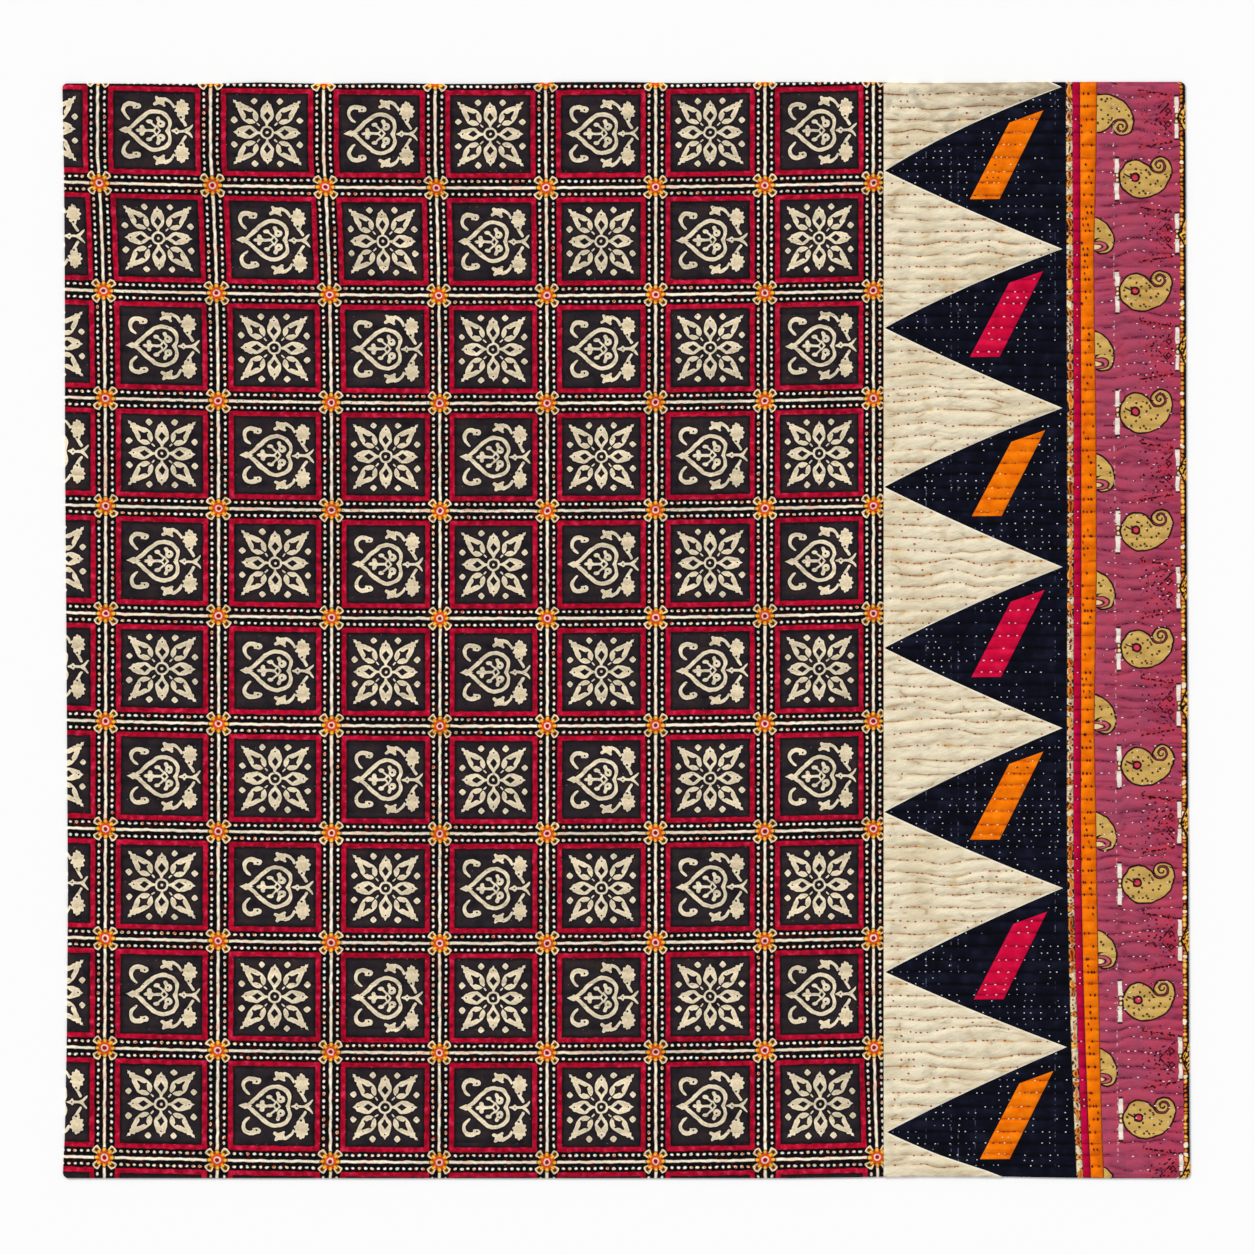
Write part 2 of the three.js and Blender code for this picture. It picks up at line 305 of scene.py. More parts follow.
def shape_cloth(mesh, x, y, z, across, down, on_face, rim):
    """Moves a unit sheet into its place, spreads its face over the map for baking, and shades it smooth."""
    mesh.vertices.foreach_set("co", np.column_stack((x, y, z)).ravel())
    inset = np.where(on_face, 1.5 * rim, 0.5 * rim)
    right = inset + across * (1 - 2 * inset)
    up = inset + BAKE_FACE + (1 - down) * (1 - BAKE_FACE - 2 * inset)
    layer = write_map(mesh, "OFBake", right, up)
    for face in mesh.polygons:
        if not any(on_face[corner] for corner in face.vertices):
            for corner in face.loop_indices:
                spot = layer.data[corner].uv
                layer.data[corner].uv = (spot.x, BAKE_FOOT * spot.y)
    mesh.shade_smooth()
    mesh.set_sharp_from_angle(angle=EDGE_ANGLE)
    mesh.update()


def quilted(name, cloth, columns, gather=0.8):
    """The mesh of a quilted cloth, with closer columns towards its sides, and its places for the print."""
    mesh, across, down, level = flat_sheet(name, columns, cloth.lines // 2 * LINES_IN_ROW)
    on_face = level > -0.5
    line = down * cloth.lines
    share = across - gather * np.sin(2 * np.pi * across) / (2 * np.pi)
    left, right = cloth.sides(line)
    x = left + (right - left) * share
    y = cloth.row_height(line) + cloth.stray(x, line)
    z = np.where(on_face, cloth.height(x, line), 0)
    shape_cloth(mesh, x, y, z, share, down, on_face, BAKE_RIM)
    return mesh, x, y, line


def dye(red, green, blue):
    """A colour as it is seen, from 0 to 255, made linear for the shader."""
    seen = np.array((red, green, blue)) / 255
    linear = np.where(seen <= 0.04045, seen / 12.92, ((seen + 0.055) / 1.055) ** 2.4)
    return (*linear.tolist(), 1.0)


def add_node(tree, kind, feeds, **choices):
    """Adds a shader node. Each of its feeds is a measure, a socket or a fixed value."""
    node = tree.nodes.new(kind)
    for name, choice in choices.items():
        setattr(node, name, choice)
    for place, feed in feeds.items():
        if isinstance(feed, Measure):
            feed = feed.socket
        if isinstance(feed, bpy.types.NodeSocket):
            tree.links.new(feed, node.inputs[place])
        else:
            node.inputs[place].default_value = feed
    return node


class Measure:
    """A number that a cloth's finish works out at each point. Arithmetic on it adds Math nodes."""

    def __init__(self, tree, socket):
        self.tree = tree
        self.socket = socket

    def math(self, operation, *others):
        feeds = dict(enumerate((self, *others)))
        node = add_node(self.tree, "ShaderNodeMath", feeds, operation=operation)
        return Measure(self.tree, node.outputs[0])

    def __add__(self, other):
        return self.math("ADD", other)

    def __sub__(self, other):
        return self.math("SUBTRACT", other)

    def __rsub__(self, other):
        return self.math("MULTIPLY_ADD", -1, other)

    def __mul__(self, other):
        return self.math("MULTIPLY", other)

    def __truediv__(self, other):
        return self.math("DIVIDE", other)

    def __neg__(self):
        return self.math("MULTIPLY", -1)

    def __abs__(self):
        return self.math("ABSOLUTE")

    __radd__ = __add__
    __rmul__ = __mul__

    def least(self, other):
        return self.math("MINIMUM", other)

    def most(self, other):
        return self.math("MAXIMUM", other)

    def part(self):
        return self.math("FRACT")

    def whole(self):
        return self.math("FLOOR")

    def odd(self):
        """1 where this whole number is odd and 0 where it is even."""
        return (self * 0.5).part() * 2

    def swing(self, amount):
        """A number round 0.5 as a shift to either side."""
        return (self - 0.5) * amount

    def repeated(self, length):
        """The place within one repeat, from its middle, where this number counts the repeats."""
        return self.part().swing(length)

    def reach(self, other):
        """The distance from the origin of the point that this number and the other give."""
        return self.math("MULTIPLY", self).math("ADD", other * other).math("SQRT")

    def bearing(self, up):
        """The direction in degrees of the point that this number, to the right, and the other, up, give."""
        return up.math("ARCTAN2", self) * math.degrees(1)

    def ramp(self, start, end, low=0.0, high=1.0):
        """Low up to start, high from end on, and even between."""
        feeds = {"Value": self, "From Min": start, "From Max": end, "To Min": low, "To Max": high}
        return Measure(self.tree, add_node(self.tree, "ShaderNodeMapRange", feeds).outputs["Result"])

    def inside(self, edge=0.35):
        """The cover of a printed shape whose measure is the depth inside it, in millimetres."""
        return self.ramp(-edge, edge)

    def profile(self, *points):
        """The amount that a profile drawn through (place, amount) points has at this number."""
        places, amounts = zip(*points)
        length = places[-1] - places[0]
        low = min(amounts)
        rise = max(amounts) - low
        share = self.math("MULTIPLY_ADD", 1 / length, -places[0] / length)
        node = add_node(self.tree, "ShaderNodeFloatCurve", {"Value": share})
        drawn = node.mapping
        drawn.extend = "HORIZONTAL"
        curve = drawn.curves[0]
        curve.points[0].location = (0, (amounts[0] - low) / rise)
        curve.points[1].location = (1, (amounts[-1] - low) / rise)
        for place, amount in points[1:-1]:
            curve.points.new((place - places[0]) / length, (amount - low) / rise)
        for point in curve.points:
            point.handle_type = "AUTO_CLAMPED"
        drawn.update()
        return Measure(self.tree, node.outputs["Value"]).math("MULTIPLY_ADD", rise, low)

    def lot(self):
        """A random number from 0 to 1 for each whole number."""
        node = add_node(self.tree, "ShaderNodeTexWhiteNoise", {"W": self}, noise_dimensions="1D")
        return Measure(self.tree, node.outputs["Value"])

    def from_row(self):
        """The distance in millimetres from the nearest row of stitches, where this number counts the rows."""
        return abs((self + 0.5).repeated(ROW_PITCH))


RIPPLES = ((83, 0.4), (84, -0.35))
BUMP_STRENGTH = 0.7
SHEEN = 0.04
SHEEN_ROUGHNESS = 0.5
CLOTH_SHINE = 0.05


class Dyeing:
    """The finish of one cloth: its ground colour, the dyes, stains, painted shade and painted highlights over
    it in turn, then its weave.
    """

    def __init__(self, name, ground):
        self.finish = bpy.data.materials.new(name)
        self.finish.use_nodes = True
        self.tree = self.finish.node_tree
        self.look = self.tree.nodes["Principled BSDF"].inputs
        self.colour = dye(*ground)
        self.place = self.tree.nodes.new("ShaderNodeTexCoord").outputs["Object"]

    def split(self, vector):
        node = add_node(self.tree, "ShaderNodeSeparateXYZ", {"Vector": vector})
        return [Measure(self.tree, side) for side in node.outputs]

    def map(self, name):
        node = add_node(self.tree, "ShaderNodeUVMap", {}, uv_map=name)
        return self.split(node.outputs["UV"])[:2]

    def noise(self, span, seed, detail=1.0, stretch=(1, 1), slant=0.0):
        feeds = {"Vector": self.place, "Angle": slant}
        turned = add_node(self.tree, "ShaderNodeVectorRotate", feeds, rotation_type="Z_AXIS")
        feeds = {
            "Vector": turned.outputs["Vector"], "Location": (0.37 * seed, 0.23 * seed, 0),
            "Scale": (*stretch, 1)}
        moved = add_node(self.tree, "ShaderNodeMapping", feeds)
        feeds = {"Vector": moved.outputs["Vector"], "Scale": 1 / span, "Detail": detail}
        return add_node(self.tree, "ShaderNodeTexNoise", feeds, noise_dimensions="2D")

    def mottle(self, *terms):
        """A number round 0.5 that changes in soft random patches, about one span long."""
        return Measure(self.tree, self.noise(*terms).outputs[0])

    def mottles(self, *terms):
        """Three such numbers, each with patches of its own."""
        return self.split(self.noise(*terms).outputs["Color"])

    def paint(self, colour, cover):
        """Lays a colour over what is there, where cover is above 0."""
        feeds = {0: cover, 6: self.colour, 7: dye(*colour)}
        self.colour = add_node(self.tree, "ShaderNodeMix", feeds, data_type="RGBA").outputs[2]

    def shade(self, amount):
        """Makes what is there lighter or darker: amount is 1 where it stays the same."""
        feeds = {0: self.colour, "Scale": amount}
        self.colour = add_node(self.tree, "ShaderNodeVectorMath", feeds, operation="SCALE").outputs["Vector"]

    def fleck(self, low, high, seed=75):
        """Makes single threads lighter and darker."""
        self.shade(self.mottle(1.3 * MM, seed, 2.0).ramp(0.25, 0.75, low, high))

    def weave(self, thread=0.7 * MM, depth=0.06 * MM, slub=0.5, rumple=0.6 * MM, ripple=0.0):
        """The plain weave: uneven threads over and under each other, matt, rumpled and perhaps rippled."""
        x, y, _ = self.split(self.place)
        slubs = self.mottle(4 * MM, 91, 2.0, (0.35, 1.6))
        warp = (x * (2 * math.pi / thread)).math("SINE")
        weft = (y * (2 * math.pi / thread)).math("SINE")
        rumples = self.mottle(12 * MM, 64, 2.0, (0.5, 1.5))
        threads = warp * weft * (1 - slub) + slubs * (2 * slub) + rumples * (rumple / depth)
        if ripple > 0:
            for seed, slant in RIPPLES:
                ripples = self.mottle(9 * MM, seed, 2.0, (0.45, 1.5), slant)
                threads = threads + ripples * (ripple / depth)
        feeds = {"Strength": BUMP_STRENGTH, "Distance": depth, "Height": threads}
        bump = add_node(self.tree, "ShaderNodeBump", feeds)
        self.tree.links.new(bump.outputs["Normal"], self.look["Normal"])
        self.tree.links.new(slubs.ramp(0.3, 0.7, 0.82, 0.96).socket, self.look["Roughness"])
        self.look["Sheen Weight"].default_value = SHEEN
        self.look["Sheen Roughness"].default_value = SHEEN_ROUGHNESS
        self.look["Specular IOR Level"].default_value = CLOTH_SHINE
        self.tree.links.new(self.colour, self.look["Base Color"])
        return self.finish


backing = Dyeing("plain_backing", (214, 202, 176))
backing.paint((196, 178, 146), backing.mottle(60 * MM, 5, 3.0).ramp(0.45, 0.72, 0, 0.8))
backing_finish = backing.weave()


def add_piece(name, mesh):
    """Makes a mesh a piece of the part."""
    piece = bpy.data.objects.new(name, mesh)
    scene.collection.objects.link(piece)
    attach(piece, "root")
    return piece


def dress(piece_name, mesh, finish, node):
    """Makes a quilted cloth a piece of the part: its own finish on its face, plain backing under its foot."""
    mesh.materials.append(finish)
    mesh.materials.append(backing_finish)
    foot = max(mesh.polygons, key=lambda face: face.loop_total)
    foot.material_index = 1
    piece = add_piece(piece_name, mesh)
    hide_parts(node)
    return piece


RUN_SPAN = 28 * MM
RUN_LINES = 3
RUN_SWELL = 0.9
RUN_SHARE = 0.4
STITCH_RISE = 0.3 * MM
STITCH_STEP = 2 * MM
STITCH_TURN = 0.12
STITCH_LENGTHS = (0.75, 1.25)
STITCH_WIDTHS = (0.8, 1.2)
BAKE_GRAIN = 0.8


def stitch_spots(cloth, pitch, seed, keep=1.0, between=0.0, even=False, uneven=0.09, margin=2.5 * MM):
    """Places for running stitches, as x and line: along every row and, more rarely, between rows."""
    chance = np.random.default_rng(seed)
    spots = []
    for line in range(2, cloth.lines - 1):
        share = between if line % 2 else keep
        if share == 0:
            continue
        left, right = cloth.sides(np.array(float(line)))
        first = np.ceil(left / pitch) * pitch if even else left + pitch * chance.random()
        x = np.arange(first, right, pitch)
        x = x + chance.normal(0, uneven * pitch, len(x))
        runs = 0.5 + RUN_SWELL * soft_noise(x / RUN_SPAN, np.full(len(x), line / RUN_LINES), seed + 1)
        chosen = chance.random(len(x)) * (1 - RUN_SHARE) + runs * RUN_SHARE < share
        kept = (x > left + margin) & (x < right - margin) & chosen
        spots.append(np.column_stack((x[kept], np.full(kept.sum(), float(line)))))
    return np.concatenate(spots)


def sew(name, cloth, spots, finish, length, width, seed, lift):
    """One joined mesh of stitches on a cloth, each a small grain of thread sunk in the face."""
    grain = bmesh.new()
    bmesh.ops.create_icosphere(grain, subdivisions=1, radius=0.5)
    grain_places = np.array([corner.co for corner in grain.verts])
    grain_faces = np.array([[corner.index for corner in face.verts] for face in grain.faces])
    grain.free()
    chance = np.random.default_rng(seed)
    x, line = spots.T
    slope = cloth.stray(x + STITCH_STEP, line) - cloth.stray(x - STITCH_STEP, line)
    slope = slope / (2 * STITCH_STEP)
    turn = (np.arctan(slope) + chance.normal(0, STITCH_TURN, len(x)))[:, None]
    along = grain_places[:, 0] * length * chance.uniform(*STITCH_LENGTHS, len(x))[:, None]
    side = grain_places[:, 1] * width * chance.uniform(*STITCH_WIDTHS, len(x))[:, None]
    rise = np.broadcast_to(grain_places[:, 2] * 2 * STITCH_RISE, along.shape)
    y = cloth.row_height(line) + cloth.stray(x, line)
    z = cloth.height(x, line) + lift
    places = np.stack((
        x[:, None] + along * np.cos(turn) - side * np.sin(turn),
        y[:, None] + along * np.sin(turn) + side * np.cos(turn),
        z[:, None] + rise,
    ), axis=-1).reshape(-1, 3)
    number = np.arange(len(x))[:, None]
    faces = grain_faces + len(grain_places) * number[:, :, None]
    mesh = bpy.data.meshes.new(name)
    mesh.from_pydata(places.tolist(), [], faces.reshape(-1, 3).tolist())
    mesh.shade_smooth()
    cells = math.ceil(math.sqrt(len(x)))
    across = (number % cells + 0.5 + BAKE_GRAIN * grain_places[:, 0]) / cells
    up = (number // cells + 0.5 + BAKE_GRAIN * grain_places[:, 1]) / cells
    write_map(mesh, "OFBake", across.ravel(), up.ravel())
    mesh.update()
    mesh.materials.append(finish)
    return add_piece(name, mesh)


def thread_dyeing(name, colour, second, share):
    """Cotton thread in two shades, share being how much of it takes the second one."""
    thread = Dyeing(name, colour)
    start = 0.74 - 0.45 * share
    thread.paint(second, thread.mottle(6 * MM, 13).ramp(start, start + 0.04))
    thread.shade(thread.mottle(0.5 * MM, 29).ramp(0.3, 0.7, 0.85, 1.1))
    return thread.weave(thread=0.25 * MM, depth=0.04 * MM, rumple=0)


# Where the print lies: column and row numbers of the check, whole at the rosettes. The cloth was pulled a
# little in sewing, so the columns bow at the left and lower right and the rows arch at the middle.
SQUARE = 108.3
WIDE_SQUARE = 113.0
WIDE_COLUMNS = 2
FIRST_COLUMN = -520.7
LOW_SQUARE = 107.6
TALL_SQUARE = 109.5
LOW_ROWS = 7
FIRST_ROW = 554.5
FIRST_NUMBER = 2
UPPER_BOW = 6.5
LOWER_BOW = 1.0
BOW_START = -26
BOW_SPAN = 270
BOW_HEIGHT = 450
BOW_LOWEST = -1.2
BOW_HIGHEST = 1.055
MIDDLE_BOW = 1.2
MIDDLE_PLACE = -20
MIDDLE_SPAN = 170
CORNER_PULL = 4.5
CORNER_X = 130
CORNER_WIDTH = 116
CORNER_Y = -330
CORNER_HEIGHT = 215
ARCH = 5.0
ARCH_PLACE = -138
ARCH_SPAN = 384
ARCH_END = 1.1


def hump(place, middle, span):
    """A smooth hump, 1 at its middle and 0 from one span away on."""
    return np.clip(1 - ((place - middle) / span) ** 2, 0, 1)


field_cloth = Cloth("field", puff=0.9, outer="left")
field_mesh, field_x, field_y, _ = quilted("field", field_cloth, 168)
print_x = field_x / MM
print_y = field_y / MM
left_pull = np.clip((BOW_START - print_x) / BOW_SPAN, 0, 1)
pull_height = np.clip(print_y / BOW_HEIGHT, BOW_LOWEST, BOW_HIGHEST) ** 2
bow = np.where(print_y > 0, UPPER_BOW * pull_height, LOWER_BOW) * left_pull * pull_height
bow = bow + MIDDLE_BOW * hump(print_x, MIDDLE_PLACE, MIDDLE_SPAN)
corner_pull = np.clip((print_x - CORNER_X) / CORNER_WIDTH, 0, 1)
corner_pull = corner_pull * np.clip((CORNER_Y - print_y) / CORNER_HEIGHT, 0, 1) ** 2
print_x = print_x + bow - CORNER_PULL * corner_pull
print_y = print_y + ARCH * (1 - np.clip((print_x - ARCH_PLACE) / ARCH_SPAN, -ARCH_END, ARCH_END) ** 2)
wide_end = FIRST_COLUMN + WIDE_COLUMNS * WIDE_SQUARE
check_column = np.where(
    print_x < wide_end,
    (print_x - FIRST_COLUMN) / np.where(print_x < FIRST_COLUMN, SQUARE, WIDE_SQUARE),
    WIDE_COLUMNS + (print_x - wide_end) / SQUARE,
)
low_end = FIRST_ROW - LOW_ROWS * LOW_SQUARE
check_row = np.where(
    print_y > low_end,
    (FIRST_ROW - print_y) / LOW_SQUARE,
    LOW_ROWS + (low_end - print_y) / TALL_SQUARE,
)
write_map(field_mesh, "check", check_column + FIRST_NUMBER, check_row + FIRST_NUMBER)

# The ground: black bands along the printed lines, and a crimson frame round each square.
HALF_SQUARE = SQUARE / 2
BAND = 14.6
SHAKE = 1.6

check = Dyeing("printed_check", (41, 35, 39))
column, row = check.map("check")
shake_x, shake_y, _ = check.mottles(8 * MM, 3)
across = column.repeated(SQUARE) + shake_x.swing(SHAKE)
up = row.repeated(-SQUARE) + shake_y.swing(SHAKE)
abs_x = abs(across)
abs_y = abs(up)
big = abs_x.most(abs_y)
small = abs_x.least(abs_y)
near = HALF_SQUARE - big
wear, other_wear, third_wear = check.mottles(7 * MM, 8, 2.0)
soil = check.mottle(15 * MM, 44, 3.0)
check.paint((56, 42, 39), soil.ramp(0.52, 0.74, 0, 0.7))
check.paint((24, 20, 25), soil.ramp(0.47, 0.28, 0, 0.7))
check.paint((14, 11, 13), near.ramp(14.8, 18.5, 0.9, 0))
check.paint((8, 7, 9), (BAND - near).inside(0.6))
check.paint((70, 8, 16), (BAND - near).inside() * other_wear.ramp(0.56, 0.72, 0, 0.7))
frame_cover = (2.25 - abs(near - 12.4)).inside()
check.paint((183, 8, 44), frame_cover)
check.paint((138, 4, 32), frame_cover * wear.ramp(0.5, 0.36, 0, 0.9))
check.paint((210, 44, 80), frame_cover * wear.ramp(0.58, 0.72, 0, 0.8))

# The flower, in every other square: four straight petals, four slanted ones, a ring and eight dots.
DIAGONAL = math.sqrt(0.5)


def dot(x, y, centre_x, centre_y, radius):
    """The depth inside a round dot."""
    return radius - (x - centre_x).reach(y - centre_y)


def diamond(x, y, centre_x, half_x, half_y, depth):
    """The depth inside a diamond on the x axis."""
    return (1 - (abs(x - centre_x) / half_x + y / half_y)) * depth


radius = across.reach(up)
slant = (abs_x + abs_y) * DIAGONAL
slant_side = abs(abs_x - abs_y) * DIAGONAL
ring = (1.05 - abs(radius - 5.6)).most(1.35 - radius)
petal = big.profile(
    (6, -3), (6.8, 1.1), (8.4, 1.4), (10.4, 2.6), (12.8, 4.5), (15, 5.9), (17.4, 6.5), (21, 6.3), (24, 5.4),
    (26, 4.5), (27.6, 4.1), (28.5, 3.3), (29.6, 1.7), (31.4, 0.6), (32.4, 0), (33.6, -3)) - small
petal_eye = diamond(big, small, 16.8, 4.8, 3.5, 2.4).most(dot(big, small, 27, 0, 0.75))
leaf = slant.profile(
    (8.8, -3), (9.8, 0.2), (10.6, 0.8), (13.6, 0.7), (14.4, -0.2), (15.2, 2.6), (16.6, 4.8), (19, 6.6),
    (21.5, 7.4), (24, 7.6), (27, 7.1), (30, 6.2), (33, 5), (36, 3.9), (38, 2.9), (39, 3.4), (40.4, 2.3),
    (42.4, 1.1), (43.4, 1.6), (45, 0.5), (46.4, 0), (47.5, -3)) - slant_side
leaf_eye = slant.profile(
    (13.2, -1), (14.2, 0.5), (18.6, 0.7), (20.6, 1.7), (22.8, 3), (24.2, 5.4), (25.6, 3.2), (27.8, 1.8),
    (30.4, 1.1), (32, 0.4), (33.2, -1)) - slant_side
dot_x = big - 31.4
dot_y = small - 12.2
dots = 3.3 - (dot_x.reach(dot_y) + abs(dot_x) + abs(dot_y)) * 0.5
flower = petal.least(-petal_eye).most(leaf.least(-leaf_eye)).most(ring).most(dots)


# The heart, in the squares between: a stroked heart with a sprig in it, a stem, hooks and leaves round it.
def oval(x, y, centre_x, centre_y, half_x, half_y):
    """The depth inside an oval."""
    return (1 - ((x - centre_x) / half_x).reach((y - centre_y) / half_y)) * min(half_x, half_y)


def stroke(x, y, start, end, half_width):
    """The depth inside a straight stroke with round ends."""
    half_run = (Vector(end) - Vector(start)) / 2
    middle = (Vector(end) + Vector(start)) / 2
    right, up = half_run.normalized()
    along = (x - middle.x) * right + (y - middle.y) * up
    beside = (x - middle.x) * up - (y - middle.y) * right
    return half_width - (abs(along) - half_run.length).most(0).reach(beside)


turn = across.bearing(abs_y)
heart_line = turn.profile(
    (0, 12.6), (8, 13.5), (25, 16.6), (42, 18.7), (63, 19.5), (83, 19.5), (105, 18.6), (129, 17.4),
    (154, 18.6), (166, 20.6), (174, 23.2), (177, 25.5), (180, 28.2))
heart_width = turn.profile((0, 2.2), (20, 1.95), (130, 2), (160, 2.2), (174, 2.7), (177, 3.4), (180, 5))
heart = heart_width - abs(radius - heart_line)
heart = heart.most(diamond(across, abs_y, -27.4, 6.8, 3.4, 3))
sprig = 0.9 - abs(diamond(across, abs_y, 2.4, 3, 4.2, 2.4))
for sprig_oval in (
        (-14.2, 0, 3.2, 1.8), (-11.6, 3.2, 2.2, 2.6), (-10.4, 0, 2.8, 2.6),
        (6.8, 6.9, 3.8, 3.8), (-4.6, 9, 3, 2)):
    sprig = sprig.most(oval(across, abs_y, *sprig_oval))
for sprig_stroke in (((-9, 0), (-1.4, 0), 1.4), ((5.2, 9), (3.7, 12.4), 1.9), ((1, 4.4), (-3, 8), 0.95)):
    sprig = sprig.most(stroke(across, abs_y, *sprig_stroke))
sprig = sprig.least(-dot(across, abs_y, 6.4, 7.2, 0.95))
hook_x = across + 23
hook_y = abs_y - 20.5
hook_turn = (-hook_x).bearing(-hook_y)
hook_line = hook_turn.profile(
    (-170, 7.8), (-150, 7.2), (-120, 6.6), (-90, 6.3), (-45, 6.3), (0, 6.4), (45, 6.9), (70, 7.8), (90, 9))
hook_width = hook_turn.profile(
    (-178, -3), (-171, 1), (-163, 3.2), (-150, 4.2), (-138, 3.4), (-124, 2.5), (-90, 2.2), (-45, 2.1),
    (0, 1.8), (45, 1.5), (75, 1.4), (86, 1), (94, -3))
hook = hook_width - abs(hook_x.reach(hook_y) - hook_line)
hook_eye = dot(across, abs_y, -16.6, 23.9, 0.9)
stem_line = across.profile((29, 0), (32, 1.2), (35, 4), (38, 7.6))
stem_width = across.profile(
    (15, -3), (16.4, 0.6), (18, 1.2), (20, 2.0), (21.6, 3.2), (23, 2.0), (24, 1.3), (28, 1.3), (32, 1.9),
    (34.6, 1.7), (36.4, 1.2), (37.6, -3))
stem = stem_width - abs(abs_y - stem_line)
stem_eye = dot(across, abs_y, 21.4, 0, 0.7)
pod_x = across - 26.6
pod_y = abs_y - 22.4
pod_turn = pod_x.bearing(pod_y)
pod = pod_turn.profile(
    (-180, 0), (-122, 0), (-104, 1.4), (-84, 1.4), (-66, 0), (84, 0), (97, 2.2), (110, 0), (180, 0))
pod = pod - pod_x.reach(pod_y * 0.82) + (pod_turn * math.radians(9)).math("COSINE") * 0.8 + 6.7
pod_eye = dot(across, abs_y, 25.8, 14, 1.05)
twig = stroke(across, abs_y, (25.6, 13), (30.2, 5.9), 1.45)
bud_x = across - 6.4
bud_y = abs_y - 29.6
bud = bud_x.bearing(bud_y).profile(
    (-180, 4.4), (-168, 6.4), (-155, 8), (-140, 6.0), (-118, 3.4), (-85, 3.8), (-60, 6), (-50, 6.4),
    (-35, 4.2), (0, 4), (30, 4.6), (60, 4.0), (100, 3.8), (125, 5.4), (141, 7.0), (155, 5.8), (180, 4.4))
bud = bud - bud_x.reach(bud_y)
stalk_x = across - 7.5
stalk_y = abs_y - 20.5
stalk = stalk_x.bearing(stalk_y).profile((8, -3), (15, 1.0), (50, 1.5), (78, 1.8), (90, -3))
stalk = stalk - abs(stalk_x.reach(stalk_y) - 11.6)
heart = heart.most(sprig).most(hook.least(-hook_eye)).most(stem.least(-stem_eye))
heart = heart.most(pod.most(twig).least(-pod_eye)).most(bud).most(stalk)

# Both are printed in cream, with a dark edge and a yellower middle.
odd_square = (column.whole() + row.whole()).odd()
motif = heart * (1 - odd_square) + flower * odd_square - 0.12
in_square = (near - 16).inside()
grain, tint, hue = check.mottles(2.6 * MM, 21, 3.0)
check.paint((14, 10, 13), (motif + 1.3).inside(0.7) * in_square * 0.9)
check.paint((244, 230, 202), motif.inside() * in_square * grain.ramp(0.3, 0.5, 0.8, 1.0))
check.paint((222, 203, 168), (motif - 1.0).inside(0.5) * in_square * tint.ramp(0.35, 0.6, 0.7, 1.0))

# The cream lines between the squares, with a row of round dots on both sides.
DOT_PITCH = 6.3
DOT_CLOSENESS = 0.76

cream_line = (1.3 - abs(near)).least(44.4 - small)
blush = check.mottle(20 * MM, 57, 2.0)
check.paint((236, 216, 186), cream_line.inside())
check.paint((254, 249, 236), (cream_line - 0.6).inside(0.5) * third_wear.ramp(0.36, 0.56, 0.4, 1.0))
check.paint((244, 196, 170), cream_line.inside() * blush.ramp(0.56, 0.68, 0, 0.7))
dot_along = (small / DOT_PITCH + 0.5).repeated(DOT_PITCH * DOT_CLOSENESS)
round_dot = (1.12 - dot_along.reach(near - 6.5) + tint.swing(1.2)).least(42.5 - small).inside()
pick, second_pick, _ = check.mottles(5 * MM, 55)
check.paint((250, 248, 238), round_dot)
check.paint((246, 224, 178), round_dot * pick.ramp(0.52, 0.56, 0, 0.95))
check.paint((238, 140, 74), round_dot * pick.ramp(0.61, 0.65, 0, 0.95))
check.paint((214, 52, 48), round_dot * pick.ramp(0.69, 0.72, 0, 0.95))
check.paint((176, 206, 190), round_dot * second_pick.ramp(0.36, 0.33, 0, 0.8))

# The rosette at each crossing: an orange disc with yellow petals, a ringed centre and four slanted tips.
corner_x = HALF_SQUARE - abs_x
corner_y = HALF_SQUARE - abs_y
corner = corner_x.reach(corner_y)
rim = (corner_x.bearing(corner_y) * math.radians(8)).math("COSINE")
disc = 8.5 - corner + rim * 0.9
disc_rim = disc.inside(0.5) * (corner - 6).inside(0.6)
corner_slant = (corner_x + corner_y) * DIAGONAL
corner_side = abs(corner_x - corner_y) * DIAGONAL
tip = corner_slant.profile(
    (4, 1.6), (6, 2.2), (9, 3.1), (11, 3.7), (12.6, 4.0), (13.4, 3.3), (14.2, 0), (15, -3)) - corner_side
tip_core = 2.1 - ((corner_slant - 10.4) * 0.8).reach(corner_side * 1.15)
check.paint((18, 14, 15), (tip + 1.0).most(disc + 0.9).inside(0.5))
check.paint((246, 236, 200), tip.inside())
check.paint((229, 154, 58), (tip - 1.0).least(12.6 - corner_slant).inside(0.5))
check.paint((74, 38, 16), tip_core.inside(0.5))
check.paint((224, 104, 18), disc.inside(0.5))
check.paint((128, 40, 16), disc_rim * rim.ramp(-0.2, -0.8, 0, 0.9))
check.paint((248, 192, 56), disc_rim * rim.ramp(0.1, 0.6))
check.paint((210, 72, 18), (5.8 - corner).inside(0.6) * tint.ramp(0.4, 0.6, 0.4, 1.0))
check.paint((240, 210, 202), (3.5 - corner).inside())
check.paint((152, 4, 28), (2.2 - corner).inside())
fade = check.mottle(60 * MM, 71, 2.0)
check.shade(fade.ramp(0.3, 0.7, 0.88, 1.08) * hue.ramp(0.25, 0.75, 0.86, 1.14))
field = dress("field_cloth", field_mesh, check.weave(), "field")

# Its thread is a dull cotton that nearly matches the cloth, so it shows as small grey grains.
grey_thread = thread_dyeing("grey_thread", (58, 46, 46), (124, 108, 108), 0.4)
field_spots = stitch_spots(field_cloth, STITCH_PITCH, 101, keep=0.72)
field_thread = sew(
    "field_thread", field_cloth, field_spots, grey_thread,
    length=1.7 * MM, width=0.75 * MM, seed=102, lift=0)


# The cream panel is a plain washed cotton, turned under along its points and sewn down over the navy cloth.
# Its rows of rust-red stitches have pulled it into soft creases, and it is stained here and there.
MAP_UNIT = 100
POINT_SLOPE = 0.41

